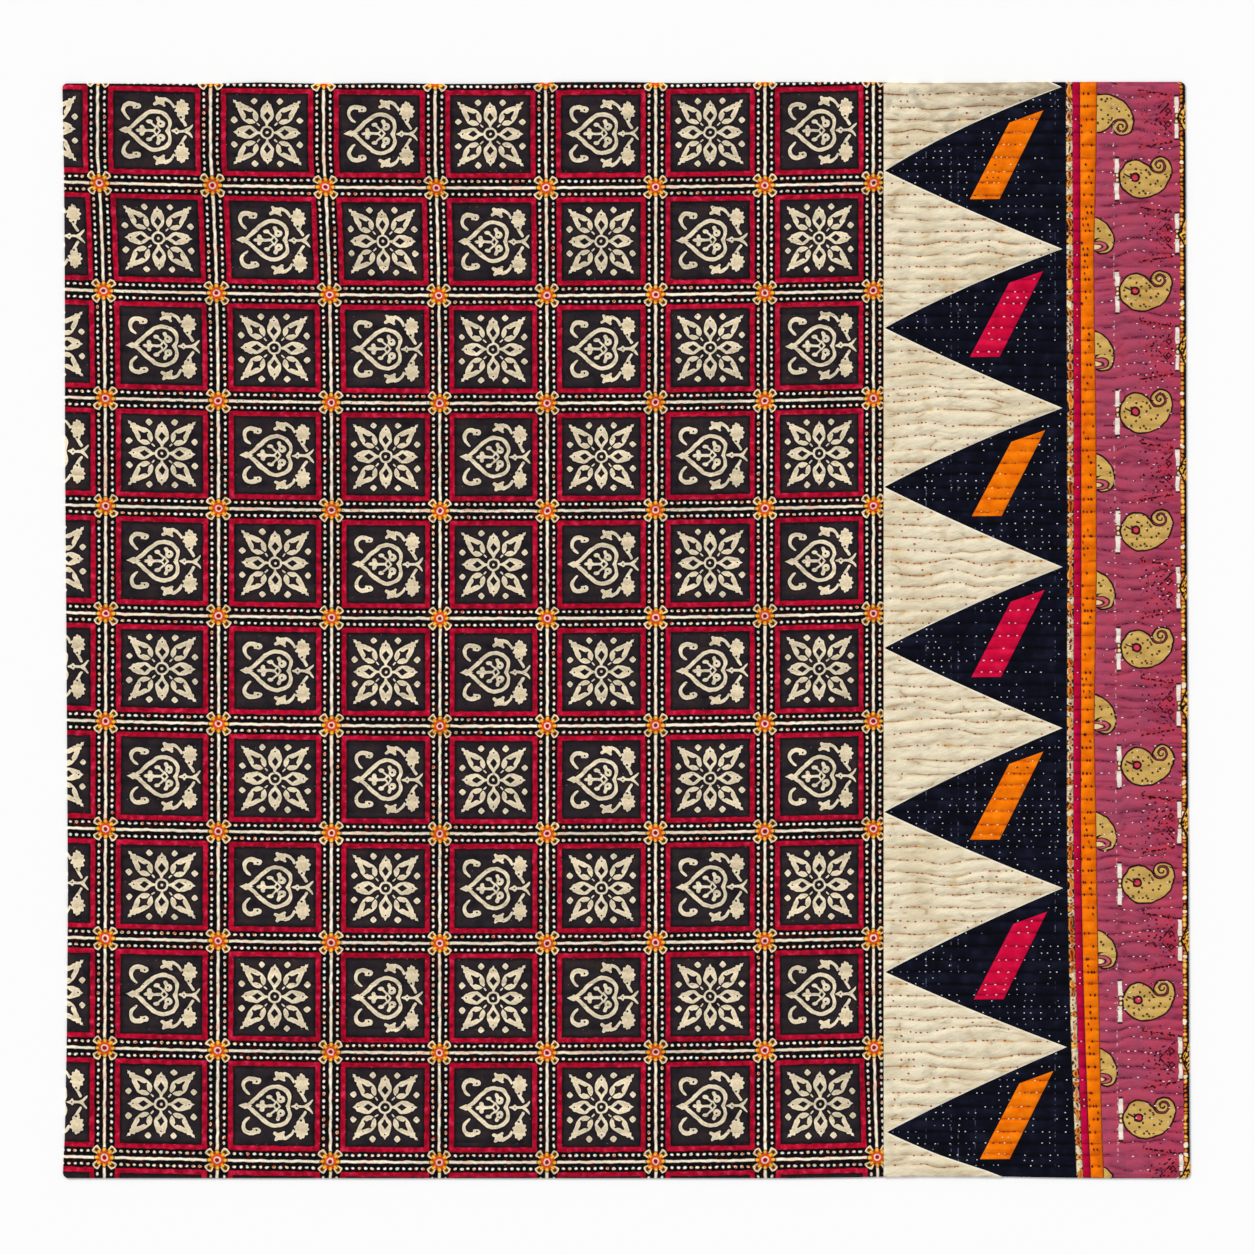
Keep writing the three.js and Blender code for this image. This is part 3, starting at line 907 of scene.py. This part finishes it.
cream_cloth = Cloth(
    "cream_panel", seam=2.4 * MM, seam_slope=0.45, puff=0.95, swell=0.6, swell_span=20 * MM, crease=-1.6,
    stray=6 * MM, stray_span=36 * MM, stray_rows=2.2, pointed="right")
cream_mesh, x, _, line = quilted("cream_panel", cream_cloth, 62)
write_map(cream_mesh, "rows", (cream_cloth.sides(line)[1] - x) / (MAP_UNIT * MM), line / 2)
write_map(cream_mesh, "creases", cream_cloth.fold(x, line), line / 2)

cream = Dyeing("washed_cream_cotton", (233, 221, 193))
edge, row = cream.map("rows")
crease = abs(cream.map("creases")[0])
valley = row.from_row()
place_x, height, _ = cream.split(cream.place)
age = cream.mottle(70 * MM, 5, 3.0)
smudge = cream.mottle(17 * MM, 14, 2.0, (1.15, 0.8))
stain = cream.mottle(26 * MM, 52, 2.0)
broken = cream.mottle(12 * MM, 6, 2.0, (0.6, 1.6))
cream.paint((212, 195, 158), age.ramp(0.48, 0.72, 0, 0.7))
cream.paint((180, 171, 150), smudge.ramp(0.54, 0.78, 0, 0.9) * height.ramp(0.43, 0.52, 0.4, 1.0))
cream.paint((186, 156, 108), stain.ramp(0.66, 0.8, 0, 0.5))
# Painted shade: a soft darker band along the creases of the cloth.
cream.paint((200, 181, 146), crease.ramp(0.04, 0.3, 0.5, 0) * broken.ramp(0.36, 0.6, 0.1, 1.0))
cream.paint((158, 124, 92), crease.ramp(0.01, 0.07, 0.6, 0) * broken.ramp(0.52, 0.64))
# Painted shade: a soft darker band in the troughs along the rows.
cream.paint((198, 176, 140), valley.ramp(0.4, 2.8, 0.6, 0) * broken.ramp(0.38, 0.58, 0.15, 1.0))
cream.paint((164, 118, 82), valley.ramp(0.2, 0.75, 0.75, 0) * broken.ramp(0.47, 0.58))
cream.paint((214, 168, 94), valley.ramp(0.3, 1.4, 0.75, 0) * stain.ramp(0.62, 0.7))
upper = height.ramp(0.38, 0.49)
# Painted shade: darker again below the puffs in the upper part of the panel.
cream.paint((190, 172, 142), valley.ramp(0.5, 4.2, 0.6, 0) * upper * broken.ramp(0.4, 0.55))
cream.paint((112, 78, 52), valley.ramp(0.2, 0.8, 0.85, 0) * upper * broken.ramp(0.46, 0.55))
# Painted shade: darker at the top right, where the cloth is gathered.
painted_gather_shade = height.ramp(0.505, 0.54) * place_x.ramp(0.29, 0.35) * broken.ramp(0.35, 0.55, 0.5, 1.0)
cream.paint((166, 148, 120), painted_gather_shade * 0.75)
# Painted highlight: a paler line along the turned-under edge of the points.
cream.paint((248, 240, 220), (edge * (MAP_UNIT * POINT_SLOPE)).ramp(0.6, 1.6, 0.85, 0))
cream.fleck(0.93, 1.07, 76)
cream_finish = cream.weave(rumple=1.2 * MM, ripple=1.3 * MM)
cream_panel = dress("cream_cloth", cream_mesh, cream_finish, "cream_panel")

rust_thread = thread_dyeing("rust_thread", (188, 84, 50), (140, 84, 54), 0.35)
cream_spots = stitch_spots(
    cream_cloth, 7.4 * MM, 201, keep=0.68, between=0.12, even=True, uneven=0.2, margin=4 * MM)
cream_thread = sew(
    "cream_thread", cream_cloth, cream_spots, rust_thread,
    length=2.4 * MM, width=1.8 * MM, seed=202, lift=0.35 * MM)
cream_cloth.flat_area()


# The navy cloth fills the gaps between the cream points. It is plain cotton, and its pale stitches stand
# about one above another from row to row, so that they look like a grid of dots. Loose threads run down it.
LOOSE_COLUMNS = (299.5, 324.5, 331.5, 348.5, 428.5)
PATCHES = range(1, 8)
PATCH_TOP_SHARE = 0.045
PATCH_FOOT_SHARE = 0.02
PATCH_LEAN = 2.4 * MM
PATCH_SLOPE = 1.5
PATCH_CLEAR = 1.2 * MM

navy_cloth = Cloth("navy_teeth", seam_slope=0.45, puff=0.9, pointed="left")
navy_mesh, x, _, line = quilted("navy_teeth", navy_cloth, 62)
write_map(navy_mesh, "rows", x / (MAP_UNIT * MM), line / 2)

navy = Dyeing("navy_cotton", (11, 12, 26))
_, row = navy.map("rows")
rub = navy.mottle(18 * MM, 9, 3.0)
navy.paint((24, 27, 45), rub.ramp(0.5, 0.72, 0, 0.75))
navy.paint((6, 6, 14), rub.ramp(0.46, 0.3, 0, 0.8))
# Painted shade: darker in the troughs along the rows.
navy.paint((4, 4, 10), row.from_row().ramp(0.5, 2.8, 0.75, 0))
place_x = navy.split(navy.place)[0] / MM
from_loose = abs(place_x - LOOSE_COLUMNS[0])
for loose_column in LOOSE_COLUMNS[1:]:
    from_loose = from_loose.least(abs(place_x - loose_column))
shown = navy.mottle(40 * MM, 23).ramp(0.46, 0.58)
dash = navy.mottle(4.2 * MM, 37, 1.0, (0.2, 1)).ramp(0.52, 0.58, 0, 0.6)
navy.paint((104, 112, 136), (0.45 - from_loose).inside(0.3) * shown * dash)
navy.fleck(0.85, 1.15)
navy_panel = dress("navy_cloth", navy_mesh, navy.weave(), "navy_teeth")


def patch_outline(number):
    """The corners of a patch, just inside its solid: top left, top right, low right and low left."""
    corners = np.array([corner.co[:2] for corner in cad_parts[f"patch_{number}"].data.vertices])
    foot = corners[corners[:, 1] < corners[:, 1].min() + FOOT_LEVEL]
    top_left = corners[(corners[:, 1] - PATCH_SLOPE * corners[:, 0]).argmax()]
    top_right = corners[corners[:, 1].argmax()]
    low_left = foot[foot[:, 0].argmin()]
    low_right = foot[foot[:, 0].argmax()]
    left_side = low_left - top_left
    right_side = low_right - top_right
    lean = np.array((PATCH_LEAN, 0))
    return np.array((
        top_left + PATCH_TOP_SHARE * left_side + lean,
        top_right + PATCH_TOP_SHARE * right_side + lean,
        low_right - PATCH_FOOT_SHARE * right_side,
        low_left - PATCH_FOOT_SHARE * left_side,
    ))


def depth_in_patch(number, spots):
    """How far stitches of the navy cloth lie inside a patch, below 0 for those outside it."""
    x = spots[:, 0]
    y = navy_cloth.row_height(spots[:, 1]) + navy_cloth.stray(*spots.T)
    outline = patch_outline(number)
    depth = np.full(len(spots), np.inf)
    for corner, following in zip(outline, np.roll(outline, -1, axis=0)):
        side = following - corner
        inward = (x - corner[0]) * side[1] - (y - corner[1]) * side[0]
        depth = np.minimum(depth, inward / np.linalg.norm(side))
    return depth


pale_thread = thread_dyeing("pale_thread", (222, 224, 226), (116, 128, 154), 0.55)
navy_spots = stitch_spots(
    navy_cloth, 8.3 * MM, 301, keep=0.6, between=0.4, even=True, uneven=0.14, margin=3 * MM)
bare = np.max([depth_in_patch(number, navy_spots) for number in PATCHES], axis=0) < -PATCH_CLEAR
navy_thread = sew(
    "navy_thread", navy_cloth, navy_spots[bare], pale_thread,
    length=1.75 * MM, width=1.4 * MM, seed=302, lift=0.2 * MM)
navy_cloth.flat_area()


# A slanted patch lies on each navy tooth, orange and crimson in turn. Each is a scrap of plain cotton with
# its edges turned under, laid over the quilted navy and held by a few stitches of the same rows.
PATCH_GRID = (18, 96)
PATCH_THICKNESS = 0.75 * MM
PATCH_RIM = 0.3 * MM
PATCH_TURN = 1.2 * MM
PATCH_GAP = 0.1 * MM
PATCH_SQUARENESS = 0.87
PATCH_MARGIN = 2.5 * MM
PATCH_BAKE_RIM = 0.02
PATCH_LIFT = PATCH_GAP + PATCH_THICKNESS + 0.35 * MM
PATCH_SEED = 500


def thin_sheet(name, columns, lines):
    """A closed unit sheet whose foot is a grid like its face."""
    shape = bmesh.new()
    bmesh.ops.create_grid(shape, x_segments=columns, y_segments=lines, size=0.5)
    raised = bmesh.ops.extrude_face_region(shape, geom=list(shape.faces))["geom"]
    face = [part for part in raised if isinstance(part, bmesh.types.BMVert)]
    bmesh.ops.translate(shape, verts=face, vec=(0, 0, 1))
    return unit_mesh(name, shape)


def plain_dyeing(name, colour, deep, bright, crease):
    """Plain dyed cotton, deeper here and brighter there, with painted shade along its rows and a painted
    shadow at its right side.
    """
    plain = Dyeing(name, colour)
    edge, row = plain.map("rows")
    valley = row.from_row()
    patchy = plain.mottle(14 * MM, 9, 3.0)
    broken = plain.mottle(9 * MM, 6, 2.0, (0.5, 1.6))
    plain.paint(deep, patchy.ramp(0.5, 0.72, 0, 0.7))
    plain.paint(bright, patchy.ramp(0.46, 0.3, 0, 0.7))
    # Painted shade: the deep colour softly in the troughs along the rows, and a thin darker line in each
    # trough.
    plain.paint(deep, valley.ramp(0.4, 2.6, 0.8, 0) * broken.ramp(0.36, 0.56, 0.2, 1.0))
    plain.paint(crease, valley.ramp(0.15, 0.6, 0.9, 0) * broken.ramp(0.46, 0.6))
    # Painted shadow along the right side, where the seam lies low.
    plain.paint(crease, (edge * MAP_UNIT).ramp(0.3, 1.3, 0.85, 0))
    plain.fleck(0.92, 1.08)
    return plain.weave()


orange_finish = plain_dyeing("orange_cotton", (240, 117, 0), (212, 90, 0), (248, 134, 12), (150, 62, 10))
crimson_finish = plain_dyeing("crimson_cotton", (204, 6, 57), (174, 2, 49), (218, 24, 73), (130, 4, 40))
close_spots = stitch_spots(navy_cloth, 5.6 * MM, 311, keep=0.75, between=0.12)
wide_spots = stitch_spots(navy_cloth, 9.2 * MM, 312, keep=0.8, between=0.35)
orange_stitches = thread_dyeing("brown_and_pale_thread", (248, 214, 150), (112, 52, 18), 0.6)
crimson_stitches = thread_dyeing("pink_thread", (246, 206, 212), (226, 120, 150), 0.4)
for number in PATCHES:
    slot, finish, stitches, spots = "crimson_cotton", crimson_finish, crimson_stitches, wide_spots
    if number % 2 == 1:
        slot, finish, stitches, spots = "orange_cotton", orange_finish, orange_stitches, close_spots
    top_left, top_right, low_right, low_left = patch_outline(number)
    mesh, across, down, level = thin_sheet(f"patch_{number}", *PATCH_GRID)
    on_face = level > 0.5
    upper = top_left + across[:, None] * (top_right - top_left)
    lower = low_left + across[:, None] * (low_right - low_left)
    x, y = (upper + down[:, None] * (lower - upper)).T
    line = navy_cloth.line_at(x, y)
    width = np.linalg.norm(low_right - low_left) * PATCH_SQUARENESS
    length = np.linalg.norm(low_left - top_left)
    rim = np.minimum(np.minimum(across, 1 - across) * width, np.minimum(down, 1 - down) * length)
    body = PATCH_RIM + (PATCH_THICKNESS - PATCH_RIM) * (1 - np.exp(-rim / PATCH_TURN))
    z = navy_cloth.height(x, line) + PATCH_GAP + np.where(on_face, body, 0)
    shape_cloth(mesh, x, y, z, across, down, on_face, PATCH_BAKE_RIM)
    write_map(mesh, "rows", x / (MAP_UNIT * MM), line / 2)
    mesh.materials.append(finish)
    patch = add_piece(f"patch_{number}_cloth", mesh)
    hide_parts(f"patch_{number}")
    held = spots[depth_in_patch(number, spots) > PATCH_MARGIN]
    patch_thread = sew(
        f"patch_{number}_thread", navy_cloth, held, stitches,
        length=2.5 * MM, width=1.6 * MM, seed=PATCH_SEED + number, lift=PATCH_LIFT)


# The first of three narrow strips is a scrap with a small printed chain of orange and cream links, which
# touch one another. Both its edges are turned under, and the rows of stitches cross it.
LINK = 7.3
SECOND_LOT = 300
STRIP_GATHER = 0.5

chain_cloth = Cloth("chain_strip", puff=1.0, crease=0.6)
chain_mesh, x, y, line = quilted("chain_strip", chain_cloth, 8, STRIP_GATHER)
left, right = chain_cloth.sides(line)
write_map(chain_mesh, "links", (x - (left + right) / 2) / (MAP_UNIT * MM), y / (MAP_UNIT * MM))

chain = Dyeing("printed_chain", (234, 214, 170))
side, along = chain.map("links")
shake_x, shake_y, _ = chain.mottles(6 * MM, 3)
side = side * MAP_UNIT + shake_x.swing(2.4)
drift = chain.mottle(17 * MM, 41)
link = (along * MAP_UNIT + shake_y.swing(7) + drift.swing(22)) / LINK
link_place = link.repeated(LINK)
link_number = link.whole()
lot = link_number.lot()
second_lot = (link_number + SECOND_LOT).lot()
orange_link = (link_number.odd() + (lot - 0.62) * 1.3).ramp(0.48, 0.52)
in_link = 3.6 - abs(link_place)
speckle = chain.mottle(2.2 * MM, 28, 2.0)
chain.paint((206, 206, 190), speckle.ramp(0.54, 0.68, 0, 0.8))
chain.paint((168, 112, 56), speckle.ramp(0.44, 0.3, 0, 0.8))
chain.paint((236, 146, 38), orange_link * in_link.inside(0.6))
lit = second_lot.ramp(0.5, 0.7) * (2.6 - side.reach(link_place * 0.8)).inside(0.8)
chain.paint((250, 202, 92), orange_link * lit)
core = 1.35 - (side * 0.9).reach(link_place * 0.6) - second_lot * 0.6
chain.paint((216, 108, 34), (core + 0.9).inside(0.5) * lot.ramp(0.3, 0.5))
chain.paint((112, 34, 18), core.inside(0.4) * second_lot.ramp(0.72, 0.66))
neck = abs(link_place) - 2.9
chain.paint((96, 48, 24), neck.inside(0.3) * second_lot.ramp(0.3, 0.4, 0.9, 0.4))
chain.paint((26, 16, 16), (neck + abs(side) - 1.6).inside(0.4) * lot.ramp(0.25, 0.35))
chain.paint((58, 34, 22), (abs(side) - 2.8).inside(0.4) * lot.ramp(0.3, 0.5, 0.5, 0.9))
chain.fleck(0.88, 1.1)
chain_strip = dress("chain_strip_cloth", chain_mesh, chain.weave(), "chain_strip")
chain_cloth.flat_area()


# The second strip is plain crimson cotton and the third, twice as wide, plain orange. Both are turned under
# at their edges and pucker where the rows cross them. Pale stitches show on one and dark ones on the other.
BETWEEN_SHARE = 0.4


def plain_strip(colour, columns, finish):
    """A strip of one colour: its cloth and its piece."""
    node = f"{colour}_strip"
    cloth = Cloth(node, puff=1.1, crease=0.8)
    mesh, x, _, line = quilted(node, cloth, columns, STRIP_GATHER)
    write_map(mesh, "rows", (cloth.sides(line)[1] - x) / (MAP_UNIT * MM), line / 2)
    return cloth, dress(f"{node}_cloth", mesh, finish, node)


def strip_spots(cloth, shares, keep, seed, wander):
    """Places for stitches where the rows cross a strip, at shares of its width."""
    chance = np.random.default_rng(seed)
    line = np.arange(2.0, cloth.lines, 1.0)
    left, right = cloth.sides(line)
    spots = []
    for share in shares:
        x = left + (right - left) * (share + chance.normal(0, wander, len(line)))
        kept = chance.random(len(line)) < np.where(line % 2 == 0, keep, BETWEEN_SHARE * keep)
        spots.append(np.column_stack((x[kept], line[kept])))
    return np.concatenate(spots)


deep_crimson_finish = plain_dyeing(
    "crimson_strip_cotton", (182, 2, 57), (138, 0, 43), (204, 12, 74), (90, 2, 32))
crimson_cloth, crimson_strip = plain_strip("crimson", 8, deep_crimson_finish)
crimson_spots = strip_spots(crimson_cloth, (0.5,), 0.3, 611, wander=0.05)
crimson_thread = sew(
    "crimson_strip_thread", crimson_cloth, crimson_spots, crimson_stitches,
    length=1.7 * MM, width=1.3 * MM, seed=612, lift=0.2 * MM)
crimson_width = crimson_cloth.flat_area() / QUILT_LENGTH
crimson_cloth.flat_area()

brown_thread = thread_dyeing("brown_thread", (66, 26, 10), (150, 66, 12), 0.35)
orange_cloth, orange_strip = plain_strip("orange", 12, orange_finish)
orange_spots = strip_spots(orange_cloth, (0.16, 0.4, 0.66), 0.6, 621, wander=0.07)
orange_thread = sew(
    "orange_strip_thread", orange_cloth, orange_spots, brown_thread,
    length=1.9 * MM, width=3.2 * MM, seed=622, lift=0.9 * MM)
orange_width = orange_cloth.flat_area() / QUILT_LENGTH


# The outer border is pink cotton, printed with tan paisleys, white bars and broken dark figures, and with a
# chain of beads along its hem. The printed columns lie half a repeat apart, every other one upside down.
REPEAT = 117.5
COLUMN = 62
FIRST_REPEAT = 20
PAISLEY_HEIGHT = 452.3
SLIP = 4.5
SLIP_HEIGHT = 315
SLIP_SPAN = 110
BORDER_SHAKE = 2.0

border_cloth = Cloth(
    "paisley_border", puff=0.85, crease=-1.2, stray=6 * MM, stray_span=30 * MM, stray_rows=2, outer="right")
border_mesh, x, y, line = quilted("paisley_border", border_cloth, 44)
slip = SLIP * hump(y / MM, SLIP_HEIGHT, SLIP_SPAN)
paisley_number = (y / MM - slip - PAISLEY_HEIGHT) / REPEAT + FIRST_REPEAT
write_map(border_mesh, "paisley", (x - border_cloth.sides(line)[1]) / (MAP_UNIT * MM), paisley_number)
write_map(border_mesh, "rows", border_cloth.fold(x, line), line / 2)

border = Dyeing("printed_paisley", (171, 70, 96))
hem, repeat = border.map("paisley")
crease, row = border.map("rows")
crease = abs(crease)
valley = row.from_row()
shake_x, shake_y, shake_z = border.mottles(9 * MM, 3)
from_hem = hem * MAP_UNIT + shake_x.swing(BORDER_SHAKE)
stain = border.mottle(24 * MM, 31, 3.0)
broken, broken_again, _ = border.mottles(3.4 * MM, 61)
drag = border.mottle(14 * MM, 6, 2.0, (0.6, 1.6))
border.paint((176, 58, 88), from_hem.ramp(-50, -20, 0, 0.6))
border.paint((184, 66, 88), stain.ramp(0.5, 0.7, 0, 0.6))
border.paint((152, 66, 94), stain.ramp(0.46, 0.3, 0, 0.7))
# Painted shade: darker along the creases and in the troughs of the rows, with a thin dark line in each
# trough.
border.paint((126, 44, 72), crease.ramp(0.03, 0.28, 0.7, 0) * drag.ramp(0.4, 0.6, 0, 0.9))
border.paint((126, 42, 70), valley.ramp(0.4, 3.0, 0.75, 0) * drag.ramp(0.38, 0.58, 0.2, 1.0))
border.paint((80, 20, 42), valley.ramp(0.2, 0.8, 0.9, 0) * drag.ramp(0.46, 0.56) * broken.ramp(0.42, 0.5))

# Beside each paisley stands a white bar, and between the paisleys a broken dark triangle with two diamonds.
BAR_START = 75
BAR_MIDDLE = 26
BAR_ASIDE = 2.0
DARK_DOT = 4.6

bar_column = (from_hem + BAR_START) / COLUMN
bar_odd = bar_column.whole().odd()
bar_x = bar_column.part() * COLUMN - BAR_MIDDLE + bar_odd * BAR_ASIDE
bar_y = (repeat + bar_odd * 0.5 + 0.5).repeated(REPEAT) + shake_y.swing(BORDER_SHAKE)
bar_y = bar_y * (1 - bar_odd * 2)
half_y = (repeat + bar_odd * 0.5).repeated(REPEAT)
beside = abs(half_y - 1.2)
between = (1 - bar_odd) * (36.5 - bar_x).inside() * (bar_x - 2).inside(1.0)
drawn = broken.ramp(0.44, 0.5) * between
drawn_again = broken_again.ramp(0.46, 0.52) * between
flag = bar_x - 19.4 - beside * 0.98
border.paint((176, 42, 66), flag.inside(2.0) * between * 0.6)
border.paint((28, 12, 18), (1.1 - abs(flag)).inside() * drawn)
from_diamond = abs(bar_x - 31.5) + abs(beside - 6.7)
border.paint((34, 12, 20), (0.9 - abs(from_diamond - 2.7)).inside() * (1 - bar_odd))
dotted = 1.2 - (beside / DARK_DOT).repeated(DARK_DOT).reach((flag + 7) * 0.7)
border.paint((34, 12, 20), dotted.least(24 - beside).inside() * drawn_again)
border.paint((196, 46, 56), (1.1 - abs(flag + 12.5)).inside() * drawn_again * 0.8)
lower_line = abs(half_y) - 29 + bar_x * 0.16
border.paint((192, 48, 58), (3.0 - abs(lower_line + 1)).inside(1.5) * drawn_again * 0.7)
border.paint((32, 12, 20), (1.0 - abs(lower_line)).inside() * drawn)
bar_side = abs(bar_x + 19.9)
bar_along = abs(bar_y + 1.3)
bar_inner = abs(bar_y + 0.5)
border.paint((44, 14, 24), (2.4 - bar_side).least(1.1 - abs(bar_along - 21.6)).inside() * 0.9)
bar = (2.2 - bar_odd * 0.25 - bar_side).least(20.5 - bar_along).least(bar_inner - 5.4)
border.paint((234, 226, 210), bar.inside())
bar_bead = (bar_x + 19.6).reach((bar_inner - 2.5) * 0.8)
border.paint((44, 14, 24), (2.1 - bar_bead).inside() * 0.9)
border.paint((238, 214, 150), (1.3 - bar_bead).inside())

# The paisley: a round body drawn out into a curl. The topmost one at the left was cut further along the
# cloth, and those upside down have a tongue in place of the coil.
PAISLEY_START = 68
PAISLEY_MIDDLE = 17.2
PAISLEY_CLOSENESS = 1.05
CUT_SHIFT = 20
CUT_ASIDE = 4.3
CUT_DROP = 6.5
CUT_RISE = 4.0
SPECK_PITCH = 7.4
LOOSE_THREAD = -72.0

cut = repeat.ramp(20.24, 20.26) * from_hem.ramp(-46, -38, 1, 0)
paisley_column = (from_hem - cut * CUT_SHIFT + PAISLEY_START) / COLUMN
upside_down = paisley_column.whole().odd()
x = (paisley_column.part() * COLUMN - upside_down * CUT_ASIDE - PAISLEY_MIDDLE) * PAISLEY_CLOSENESS
y = (repeat + upside_down * 0.5 + 0.5).repeated(REPEAT) + shake_y.swing(BORDER_SHAKE) - cut * CUT_RISE
y = y + upside_down * repeat.ramp(15.75, 15.65, 0, CUT_DROP)
y = y * (1 - upside_down * 2) * PAISLEY_CLOSENESS
reach = x.reach(y)
body = x.bearing(y).profile(
    (-180, 16.3), (-153, 16.8), (-123, 17.6), (-95, 20.2), (-73, 22.4), (-50, 25.5), (-32, 29.6), (-14, 34),
    (-1, 36.7), (5, 37.7), (8, 30), (9.5, 25.2), (15, 20.5), (29, 18.5), (57, 18.2), (90, 18.3), (117, 17.5),
    (147, 15.9), (180, 16.3)) - reach
curl_x = x - 25.6
curl_y = y - 12.7
curl_turn = curl_x.bearing(curl_y)
curl_reach = curl_x.reach(curl_y)
curl = curl_turn.profile(
    (-180, 8.9), (-141, 8.7), (-90, 9.2), (-75, 9.6), (-60, 11.5), (-45, 15), (-35, 14.9), (-25, 14.1),
    (-4, 12.2), (31, 10.4), (84, 8.6), (130, 8.4), (180, 8.9)) - curl_reach
figure = body.most(curl)
whorl = curl_turn.profile(
    (-180, 9.4), (-150, 8.7), (-90, 7.4), (-45, 6.5), (0, 5.7), (50, 5.1), (90, 4.7), (135, 4.1), (180, 3.5))
inner_whorl = curl_turn.profile((-180, 3.5), (-90, 2.6), (0, 1.6), (60, 0.8))
coil = (1.5 - abs(whorl - curl_reach)).least((curl_turn + 168) * 0.1)
coil = coil.most((0.85 - abs(inner_whorl - curl_reach)).least((30 - curl_turn) * 0.1))
border.paint((30, 10, 18), (figure + 1.2).inside())
border.paint((204, 167, 92), (figure - 0.8).inside())
border.paint((184, 142, 74), (figure - 0.8).inside() * stain.ramp(0.5, 0.66, 0, 0.6))
cell_place = add_node(border.tree, "ShaderNodeCombineXYZ", {"X": x, "Y": y}).outputs["Vector"]
cell_feeds = {"Vector": cell_place, "Scale": 1 / SPECK_PITCH}
cells = add_node(border.tree, "ShaderNodeTexVoronoi", cell_feeds, voronoi_dimensions="2D")
speck = (1.3 - Measure(border.tree, cells.outputs["Distance"]) * SPECK_PITCH).inside(0.3)
border.paint((36, 14, 16), speck * (body - 2.5).inside() * 0.92)
border.paint((40, 14, 22), speck * (-figure - 4).inside() * drawn_again * (34 - abs(half_y)).inside())
coiled = 1 - upside_down * (1 - cut)
tongued = 1 - coiled
border.paint((40, 11, 21), coil.inside() * coiled)
border.paint((140, 50, 70), (coil - 1.1).inside(0.2) * coiled)
tongue = oval(x, y, 22.2, 13.6, 10.2, 5.6)
tongue_core = oval(x, y, 17.8, 14.2, 8, 2.9)
border.paint((40, 11, 21), (tongue + 0.6).inside() * tongued)
border.paint((196, 88, 104), (tongue - 0.6).inside() * tongued)
border.paint((40, 11, 21), (tongue_core + 0.7).inside() * tongued)
border.paint((226, 198, 142), (tongue_core - 0.4).inside() * tongued)
dash = border.mottle(4.2 * MM, 37, 1.0, (0.2, 1)).ramp(0.56, 0.62, 0, 0.5)
border.paint((240, 216, 218), (0.5 - abs(from_hem - LOOSE_THREAD)).inside() * dash)
tail = (1.0 - abs(y - 2.4 + (x + 8) * 0.45)).least(3.6 - abs(x + 8))
border.paint((46, 14, 26), (5.1 - reach).most(tail).inside() * (1 - cut))
border.paint((212, 58, 80), (2.8 - reach).inside() * (1 - cut))

# The hem's chain: black, with ragged orange, yellow and cream beads, and a streaked flare at each bar.
BEAD = 4.6

flare = (from_hem + 7.2) * 0.9 - bar_along * 0.4
border.paint((20, 12, 13), (from_hem + 5.8 + shake_z.swing(BORDER_SHAKE)).most(flare + 1.4).inside())
bead_number = repeat * (REPEAT / BEAD) + shake_z.swing(1.4)
bead_lot = bead_number.whole().lot()
bead = 2.3 - bead_lot * 1.1 - (from_hem + 4.1).reach(bead_number.repeated(BEAD) * 0.95)
bead = bead.least(-flare - 1.2)
border.paint((226, 132, 30), bead.inside(0.4))
border.paint((246, 204, 94), (bead - 0.6).inside(0.4) * bead_lot.ramp(0.55, 0.4))
border.paint((244, 234, 206), (bead - 0.3).inside(0.4) * bead_lot.ramp(0.12, 0.09))
border.paint((214, 84, 40), bead.inside(0.4) * bead_lot.ramp(0.86, 0.9))
streak = border.mottle(3.0 * MM, 17, 1.0, (1.3, 0.8), 0.5)
border.paint((232, 150, 34), (flare - 0.6).inside(0.4) * streak.ramp(0.46, 0.52))
border.paint((246, 204, 94), (flare - 0.6).inside(0.4) * streak.ramp(0.57, 0.63))
border.fleck(0.88, 1.11)
border_finish = border.weave(rumple=1.4 * MM)
paisley_border = dress("paisley_border_cloth", border_mesh, border_finish, "paisley_border")

white_thread = thread_dyeing("white_thread", (248, 226, 232), (48, 14, 26), 0.55)
border_spots = stitch_spots(border_cloth, 7.8 * MM, 401, keep=0.62, between=0.12, margin=6 * MM)
border_thread = sew(
    "border_thread", border_cloth, border_spots, white_thread,
    length=2.6 * MM, width=1.3 * MM, seed=402, lift=0.25 * MM)
